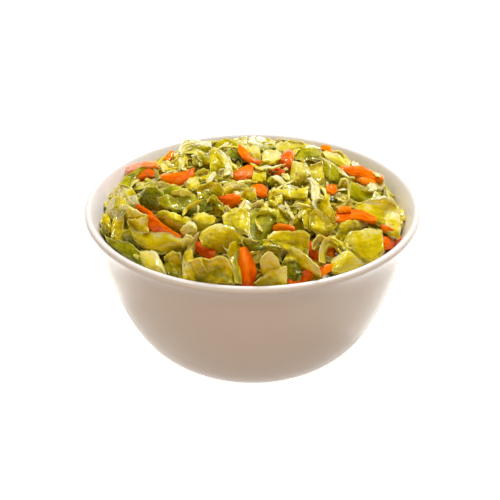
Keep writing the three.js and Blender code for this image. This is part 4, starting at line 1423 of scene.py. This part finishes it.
# Where the points of a placed piece lie: along it from 0 to 1, and across it from -1 to 1.
# A leaf runs on past its lower edge, under what lies in front.
ALONG = np.concatenate([[0, 0.03], np.linspace(0.08, 0.92, 17), [0.97, 1]])
ACROSS_LEAF = np.array([-1.0, -0.9, -0.66, -0.42, -0.18, 0.06, 0.3, 0.54, 0.78, 1.0, 1.22])
ACROSS_STICK = np.array([-1.0, -0.82, -0.4, 0.0, 0.4, 0.82, 1.0])
MIDDLE_ROW = 10
MIDDLE_COLUMN = 5
TUCK_START = 0.78  # where a leaf's lower edge starts to dip

SIGHT_DEPTHS = np.arange(500.0, 650.0, 0.5)  # from the eye, where the heap is looked for
MISSED = 99.0  # the gap of a line of sight that passes beside the heap
EDGE_WANDER = 0.9  # in pixels, of a leaf's edges
LIFT_WANDER = 0.5

RIDGES = (-0.4, 0.0, 0.4)  # where the ridge of a stick may run
RIDGE_FALL = 0.3  # how far its sides fall back, as a share of its breadth
RIDGE_POWER = (1, 2)
STICK_THICKNESS = (2.0, 2.8)
STICK_LENGTH = 20  # in millimetres, for its dents
STICK_DENTS = (9.0, 0.2)  # length and depth

LEAF_TIPS = (-0.3, 0.5)  # where across a leaf its curl starts
CURL_WAYS = (-1.0, -1.0, 1.0)  # two of three curl towards the eye
CURLS = (0.2, 0.8)
EDGE_BENDS = (-0.8, 0.6)
LEAF_TILT = 0.3
SMALL_LEAF = 7  # millimetres: smaller ones have one crease, and larger ones two
DENT_DEPTH = 1.1  # at most, in millimetres
DENT_BREADTH = 7  # a narrower leaf is dented less
FINE_DENTS = (3.0, 0.3)
MOST_DEPTH = 7.0  # from the front of a leaf to its back
MOST_BACK = 1.6  # of its relief, behind the heap's surface
TUCK = 1.5  # how far a leaf's lower edge dips under what lies in front
TUCK_BREADTH = 6  # a narrower leaf dips less
TUCK_ENDS = 0.15  # and its two ends, as a share of that
END_REACH = 0.12
LEAF_THICKNESS = (0.35, 0.6)
RIB_THICKER = 1.4
THINNEST = 0.3  # share of its thickness that even the narrowest leaf has
FULL_BREADTH = 5
NARROW = 3.0  # strips thinner than this run out to fine ends
NARROW_END = 0.25  # their breadth there, as a share of the whole
# breadth of the painted highlight band along a placed leaf's upper edge: one of these, times a share
# from the next
HIGHLIGHT_RIMS = (0.0, 0.25, 0.5)
HIGHLIGHT_RIM_SHARES = (0.5, 1.0)
UPPER_LIGHT_LOWER_SHADE = (0.15, 0.45)  # how much paler the upper edge and darker the lower edge of a placed leaf are in colour: painted light above, painted shade below
SURFACE_REACH = 3.0  # of the hand that feels the heap, before the placed pieces are laid


def knots_of(points):
    step = np.linalg.norm(np.diff(points, axis=0), axis=1)
    return np.concatenate([[0], np.cumsum(step)]) / step.sum()


def smooth_line(points, shares):
    """A smooth curve through a few points."""
    points = np.array(points, dtype=float)
    knots = knots_of(points)
    slopes = np.gradient(points, knots, axis=0)
    index = np.clip(np.searchsorted(knots, shares, side="right") - 1, 0, len(knots) - 2)
    span = (knots[index + 1] - knots[index])[:, None]
    w = (shares[:, None] - knots[index][:, None]) / span
    start = (2 * w**3 - 3 * w**2 + 1) * points[index]
    leave = (w**3 - 2 * w**2 + w) * span * slopes[index]
    end = (3 * w**2 - 2 * w**3) * points[index + 1]
    arrive = (w**3 - w**2) * span * slopes[index + 1]
    return start + leave + end + arrive


def straight_line(points, shares):
    points = np.array(points, dtype=float)
    knots = knots_of(points)
    return np.stack([np.interp(shares, knots, points[:, axis]) for axis in (0, 1)], axis=-1)


def on_sight(u, v, depth):
    """The point that a pixel of the front view shows at a depth from the eye."""
    away = VIEW_DISTANCE * math.cos(VIEW_ELEVATION)
    height = AIM_HEIGHT + VIEW_DISTANCE * math.sin(VIEW_ELEVATION)
    right = (u - AIM_PIXEL[0]) / FOCAL
    up = (AIM_PIXEL[1] - v) / FOCAL
    x = depth * right
    y = -away + depth * (math.cos(VIEW_ELEVATION) + up * math.sin(VIEW_ELEVATION))
    z = height + depth * (-math.sin(VIEW_ELEVATION) + up * math.cos(VIEW_ELEVATION))
    return x, y, z


def depth_on(heap, surface, u, v, lift):
    """How deep a pixel's line of sight meets the heap, or comes closest to it."""
    x, y, z = on_sight(u[..., None], v[..., None], SIGHT_DEPTHS)
    gap = z - surface[heap.cell(x, y)] - lift[..., None]
    gap = np.where(np.hypot(x, y) < HEAP_RADIUS + 1.0, gap, MISSED)
    under = gap < 0
    first = np.where(under.any(axis=-1), under.argmax(axis=-1), gap.argmin(axis=-1))
    return SIGHT_DEPTHS[first]


def evened(depth, s, t):
    """The smooth bent sheet that comes closest to a grid of depths."""
    terms = np.stack([s**0, s, t, s**2, s * t, t**2], axis=-1).reshape(-1, 6)
    return (terms @ np.linalg.lstsq(terms, depth.ravel(), rcond=None)[0]).reshape(depth.shape)


def shape_stick(depth, s, t, breadth):
    """Gives a stick its ridge and dents, and says how thick it is."""
    ridge = draw.choice(RIDGES)
    depth += RIDGE_FALL * breadth * np.abs(t - ridge) ** draw.uniform(*RIDGE_POWER)
    depth += crumpled(s * STICK_LENGTH, t * breadth / 2, *STICK_DENTS)
    return draw.uniform(*STICK_THICKNESS)


def shape_leaf(depth, s, t, breadth, size, piece):
    """Gives a leaf its curl, creases, dents and tucked edges, and says how thick it is."""
    tip = draw.uniform(*LEAF_TIPS)
    curl = draw.choice(CURL_WAYS) * draw.uniform(*CURLS)
    depth += curl * piece.crown * np.clip(t - tip, -2, 0) ** 2
    depth += draw.uniform(*EDGE_BENDS) * np.clip(-0.5 - t, 0, 1)
    inner = np.clip(t, -1, 1) * breadth / 2
    shape = creased(s * size, inner, 1 if size < SMALL_LEAF else 2)
    shape = shape + draw.normal(0, LEAF_TILT) * inner
    shape += crumpled(s * size, inner, DENT_LENGTH, min(DENT_DEPTH, breadth / DENT_BREADTH))
    shape += crumpled(s * size, inner, *FINE_DENTS)
    shape *= min(1.0, MOST_DEPTH / float(np.ptp(shape)))
    depth += shape - max(0.0, float(shape.max()) - MOST_BACK)
    low = np.clip((t - TUCK_START) / (t.max() - TUCK_START), 0, 1)
    ends = np.clip(1 - np.minimum(s, 1 - s) / END_REACH, 0, 1) ** 2
    depth += TUCK * min(1, breadth / TUCK_BREADTH) * np.maximum(low, TUCK_ENDS * ends)
    thicker = RIB_THICKER if piece.kind == "rib" else 1.0
    return draw.uniform(*LEAF_THICKNESS) * thicker * min(1, THINNEST + breadth / FULL_BREADTH)


def lay_placed(heap, surface, pile, piece):
    """Lays a piece so that its outline is seen where it was given."""
    solid = piece.kind == "carrot"
    s, t = ALONG, ACROSS_STICK if solid else ACROSS_LEAF
    line = straight_line if solid else smooth_line
    upper, lower = line(piece.upper, s), line(piece.lower, s)
    share = ((t + 1) / 2)[None, :]
    u = upper[:, :1] * (1 - share) + lower[:, :1] * share
    v = upper[:, 1:] * (1 - share) + lower[:, 1:] * share
    if not solid:
        v += uneven(s * 4, EDGE_WANDER)[:, None] * np.clip(-t, 0, 1) ** 3
        v += uneven(s * 4, EDGE_WANDER)[:, None] * np.clip(t, 0, 1) ** 3
    lift = piece.lift[0] * (1 - share) + piece.lift[1] * share
    lift = lift + draw.uniform(-LIFT_WANDER, LIFT_WANDER) + 0 * u
    s_grid, t_grid = s[:, None] + 0 * share, t[None, :] + 0 * s[:, None]
    depth = evened(depth_on(heap, surface, u, v, lift), s_grid, t_grid)
    scale = depth.mean() / FOCAL
    across_u, across_v = u[MIDDLE_ROW, -1] - u[MIDDLE_ROW, 0], v[MIDDLE_ROW, -1] - v[MIDDLE_ROW, 0]
    breadth = np.hypot(across_u, across_v) * scale
    if solid:
        thick = shape_stick(depth, s_grid, t_grid, breadth)
    else:
        along_u = u[-1, MIDDLE_COLUMN] - u[0, MIDDLE_COLUMN]
        along_v = v[-1, MIDDLE_COLUMN] - v[0, MIDDLE_COLUMN]
        size = np.hypot(along_u, along_v) * scale
        thick = shape_leaf(depth, s_grid, t_grid, breadth, size, piece)
    sheet = np.stack(on_sight(u, v, depth), axis=-1)
    if breadth < NARROW and not solid:
        middle = sheet.mean(axis=1, keepdims=True)
        taper = np.minimum(1, NARROW_END + 4 * np.minimum(s, 1 - s))[:, None, None]
        sheet = middle + (sheet - middle) * taper
    sheet[..., 2] = np.minimum(sheet[..., 2], HIGHEST)
    sheet = inside_wall(sheet, sheet[..., 2])
    # a pale band of painted highlight along the upper edge of a leaf
    rim = 0.0 if solid else piece.rim + draw.choice(HIGHLIGHT_RIMS) * draw.uniform(*HIGHLIGHT_RIM_SHARES)
    # painted light at the upper edge and painted shade at the lower
    across_tone_and_shading = 0.0 if solid else draw.uniform(*UPPER_LIGHT_LOWER_SHADE)
    add_sheet(
        pile, sheet, thick, sum(piece.tint) / 2, piece.rib,
        fold_tint=piece.tint[1] - piece.tint[0], shares=(s, t), rim=rim, across_tone_and_shading=across_tone_and_shading,
    )
    heap.cover(sheet)


def lay_placed_pieces(heap, piles):
    surface = heap.smooth(SURFACE_REACH)
    for group in (BACK, BACK_LEFT, LEFT, MIDDLE, RIGHT, FRONT):
        for piece in group.values():
            lay_placed(heap, surface, piles[piece.kind], piece)


ROUNDS = 5  # of laying pieces of every kind
FINE_ROUNDS = 2  # the last ones, which are seen most
LEAVES = 40  # in each round
GREEN_LEAVES = 14
RIBS = 12
SHREDS = 10
CARROTS = 9
SCRAPS = 260  # laid in the gaps
STRIPS = 110  # laid last


def lay_round(heap, piles, leaf):
    for _ in range(LEAVES):
        lay_cut(heap, piles["leaf"], leaf, tint=draw.uniform(0, 1), rib=draw.uniform(0, 0.8))
    for _ in range(GREEN_LEAVES):
        lay_cut(heap, piles["green"], leaf, tint=draw.uniform(0, 1), rib=draw.uniform(0, 0.5))
    for _ in range(RIBS):
        lay_cut(heap, piles["rib"], RIB)
    for _ in range(SHREDS):
        lay_cut(heap, piles["shred"], SHRED)
    for _ in range(CARROTS):
        lay_carrot(heap, piles["carrot"])


def make_slaw():
    heap = Heap()
    piles = {kind: Pile() for kind in ("leaf", "green", "rib", "shred", "carrot")}
    for number in range(ROUNDS):
        lay_round(heap, piles, FINE_LEAF if number >= ROUNDS - FINE_ROUNDS else LEAF)
    lay_placed_pieces(heap, piles)
    for _ in range(SCRAPS):
        lay_cut(heap, piles[draw.choice(["leaf", "leaf", "green", "shred"])], SCRAP)
    for _ in range(STRIPS):
        lay_cut(heap, piles[draw.choice(["leaf", "leaf", "shred"])], STRIP)
    piles["leaf"].make("cabbage_leaves", cabbage_leaf(), "cabbage_leaf")
    piles["green"].make("green_leaves", green_leaf(), "cabbage_green")
    piles["rib"].make("cabbage_ribs", cabbage_rib(), "cabbage_rib")
    piles["shred"].make("fine_shreds", cabbage_rib(), "cabbage_rib")
    piles["carrot"].make("carrot_sticks", carrot_flesh(), "carrot")


# ---- Camera, floor and light ---------------------------------------------------------------------

CLIP_START = 0.05
FLOOR_SIZE = 12.0
FLOOR_WHITE = (0.93, 0.92, 0.90, 1.0)
FLOOR_GLOW = 0.85
WHITE = (1.0, 1.0, 1.0)
SLAW_MIDDLE = (0, 0, 0.07)
BOWL_MIDDLE = (0, 0, 0.04)

SKY = (
    (0.00, (0.02, 0.01, 0.005)),  # straight down: what the table throws back
    (0.36, (0.12, 0.068, 0.045)),
    (0.49, (1.08, 0.74, 0.66)),
    (0.52, (0.24, 0.19, 0.04)),  # the horizon
    (0.62, (0.27, 0.23, 0.05)),
    (0.76, (0.22, 0.185, 0.03)),
    (0.88, (0.30, 0.28, 0.12)),
    (0.95, (1.20, 1.20, 1.20)),  # overhead
)


def make_camera():
    data = bpy.data.cameras.new("studio camera")
    camera = bpy.data.objects.new("studio camera", data)
    bpy.context.scene.collection.objects.link(camera)
    away = VIEW_DISTANCE * math.cos(VIEW_ELEVATION)
    height = AIM_HEIGHT + VIEW_DISTANCE * math.sin(VIEW_ELEVATION)
    camera.location = (0, -away * MM, height * MM)
    camera.rotation_euler = (math.pi / 2 - VIEW_ELEVATION, 0, 0)
    data.sensor_width = SENSOR
    data.lens = FOCAL / IMAGE * SENSOR
    data.shift_x = -(AIM_PIXEL[0] - IMAGE / 2) / IMAGE
    data.shift_y = (AIM_PIXEL[1] - IMAGE / 2) / IMAGE
    data.clip_start = CLIP_START
    bpy.context.scene.camera = camera


def pale_floor():
    finish = Finish("pale floor")
    finish.set(Base_Color=FLOOR_WHITE, Roughness=0.9, Specular_IOR_Level=0.1)
    finish.set(Emission_Color=(*WHITE, 1.0), Emission_Strength=FLOOR_GLOW)
    return finish.material


def make_floor():
    start_fresh()
    bpy.ops.mesh.primitive_plane_add(size=FLOOR_SIZE, location=(0, 0, 0))
    floor = bpy.context.object
    floor.name = "studio_floor"
    floor.data.materials.append(pale_floor())
    floor.visible_diffuse = False


def add_light(name, kind, strength, colour):
    data = bpy.data.lights.new(name, kind)
    data.energy = strength
    data.color = colour
    light = bpy.data.objects.new(name, data)
    bpy.context.scene.collection.objects.link(light)
    return light


def add_sun(name, azimuth, elevation, strength, softness, colour):
    light = add_light(name, "SUN", strength, colour)
    light.data.angle = math.radians(softness)
    light.rotation_euler = (math.radians(90 - elevation), 0, math.radians(azimuth))


def add_softbox(name, place, aim, size, power, colour):
    light = add_light(name, "AREA", power, colour)
    light.data.shape = "RECTANGLE"
    light.data.size, light.data.size_y = size
    light.location = place
    light.rotation_euler = (Vector(aim) - Vector(place)).to_track_quat("-Z", "Y").to_euler()


def hang_sky():
    """A wide soft light overhead, which fades towards the horizon."""
    world = bpy.data.worlds.new("studio")
    world.use_nodes = True
    nodes, links = world.node_tree.nodes, world.node_tree.links
    direction = nodes.new("ShaderNodeTexCoord")
    split = nodes.new("ShaderNodeSeparateXYZ")
    height = nodes.new("ShaderNodeMapRange")
    height.inputs["From Min"].default_value = -1.0
    shade = nodes.new("ShaderNodeValToRGB")
    set_stops(shade.color_ramp, SKY)
    links.new(direction.outputs["Generated"], split.inputs["Vector"])
    links.new(split.outputs["Z"], height.inputs["Value"])
    links.new(height.outputs["Result"], shade.inputs["Fac"])
    links.new(shade.outputs["Color"], nodes["Background"].inputs["Color"])
    bpy.context.scene.world = world


def light_studio():
    hang_sky()
    add_sun("key", azimuth=150, elevation=64, strength=0.72, softness=9, colour=WHITE)
    add_softbox(
        "window", place=(0.2, 0.5, 0.72), aim=SLAW_MIDDLE, size=(0.2, 0.2), power=5.0, colour=WHITE
    )
    add_softbox(
        "warm fill", place=(-0.1, -0.7, 0.12), aim=BOWL_MIDDLE, size=(0.8, 0.2), power=1.05,
        colour=(1.0, 0.70, 0.50),
    )
    add_softbox(
        "right fill", place=(0.62, -0.3, 0.14), aim=BOWL_MIDDLE, size=(0.4, 0.25), power=0.22,
        colour=(1.0, 0.82, 0.62),
    )
    add_softbox(
        "left fill", place=(-0.62, -0.3, 0.14), aim=BOWL_MIDDLE, size=(0.4, 0.25), power=0.1,
        colour=(1.0, 0.84, 0.66),
    )
    add_softbox(
        "glint", place=(-0.3, -0.1, 0.75), aim=SLAW_MIDDLE, size=(0.06, 0.06), power=0.4, colour=WHITE
    )
    view = bpy.context.scene.view_settings
    view.view_transform = "Standard"
    view.look = "None"


make_camera()
make_floor()
light_studio()
make_bowl()
make_core()
make_slaw()
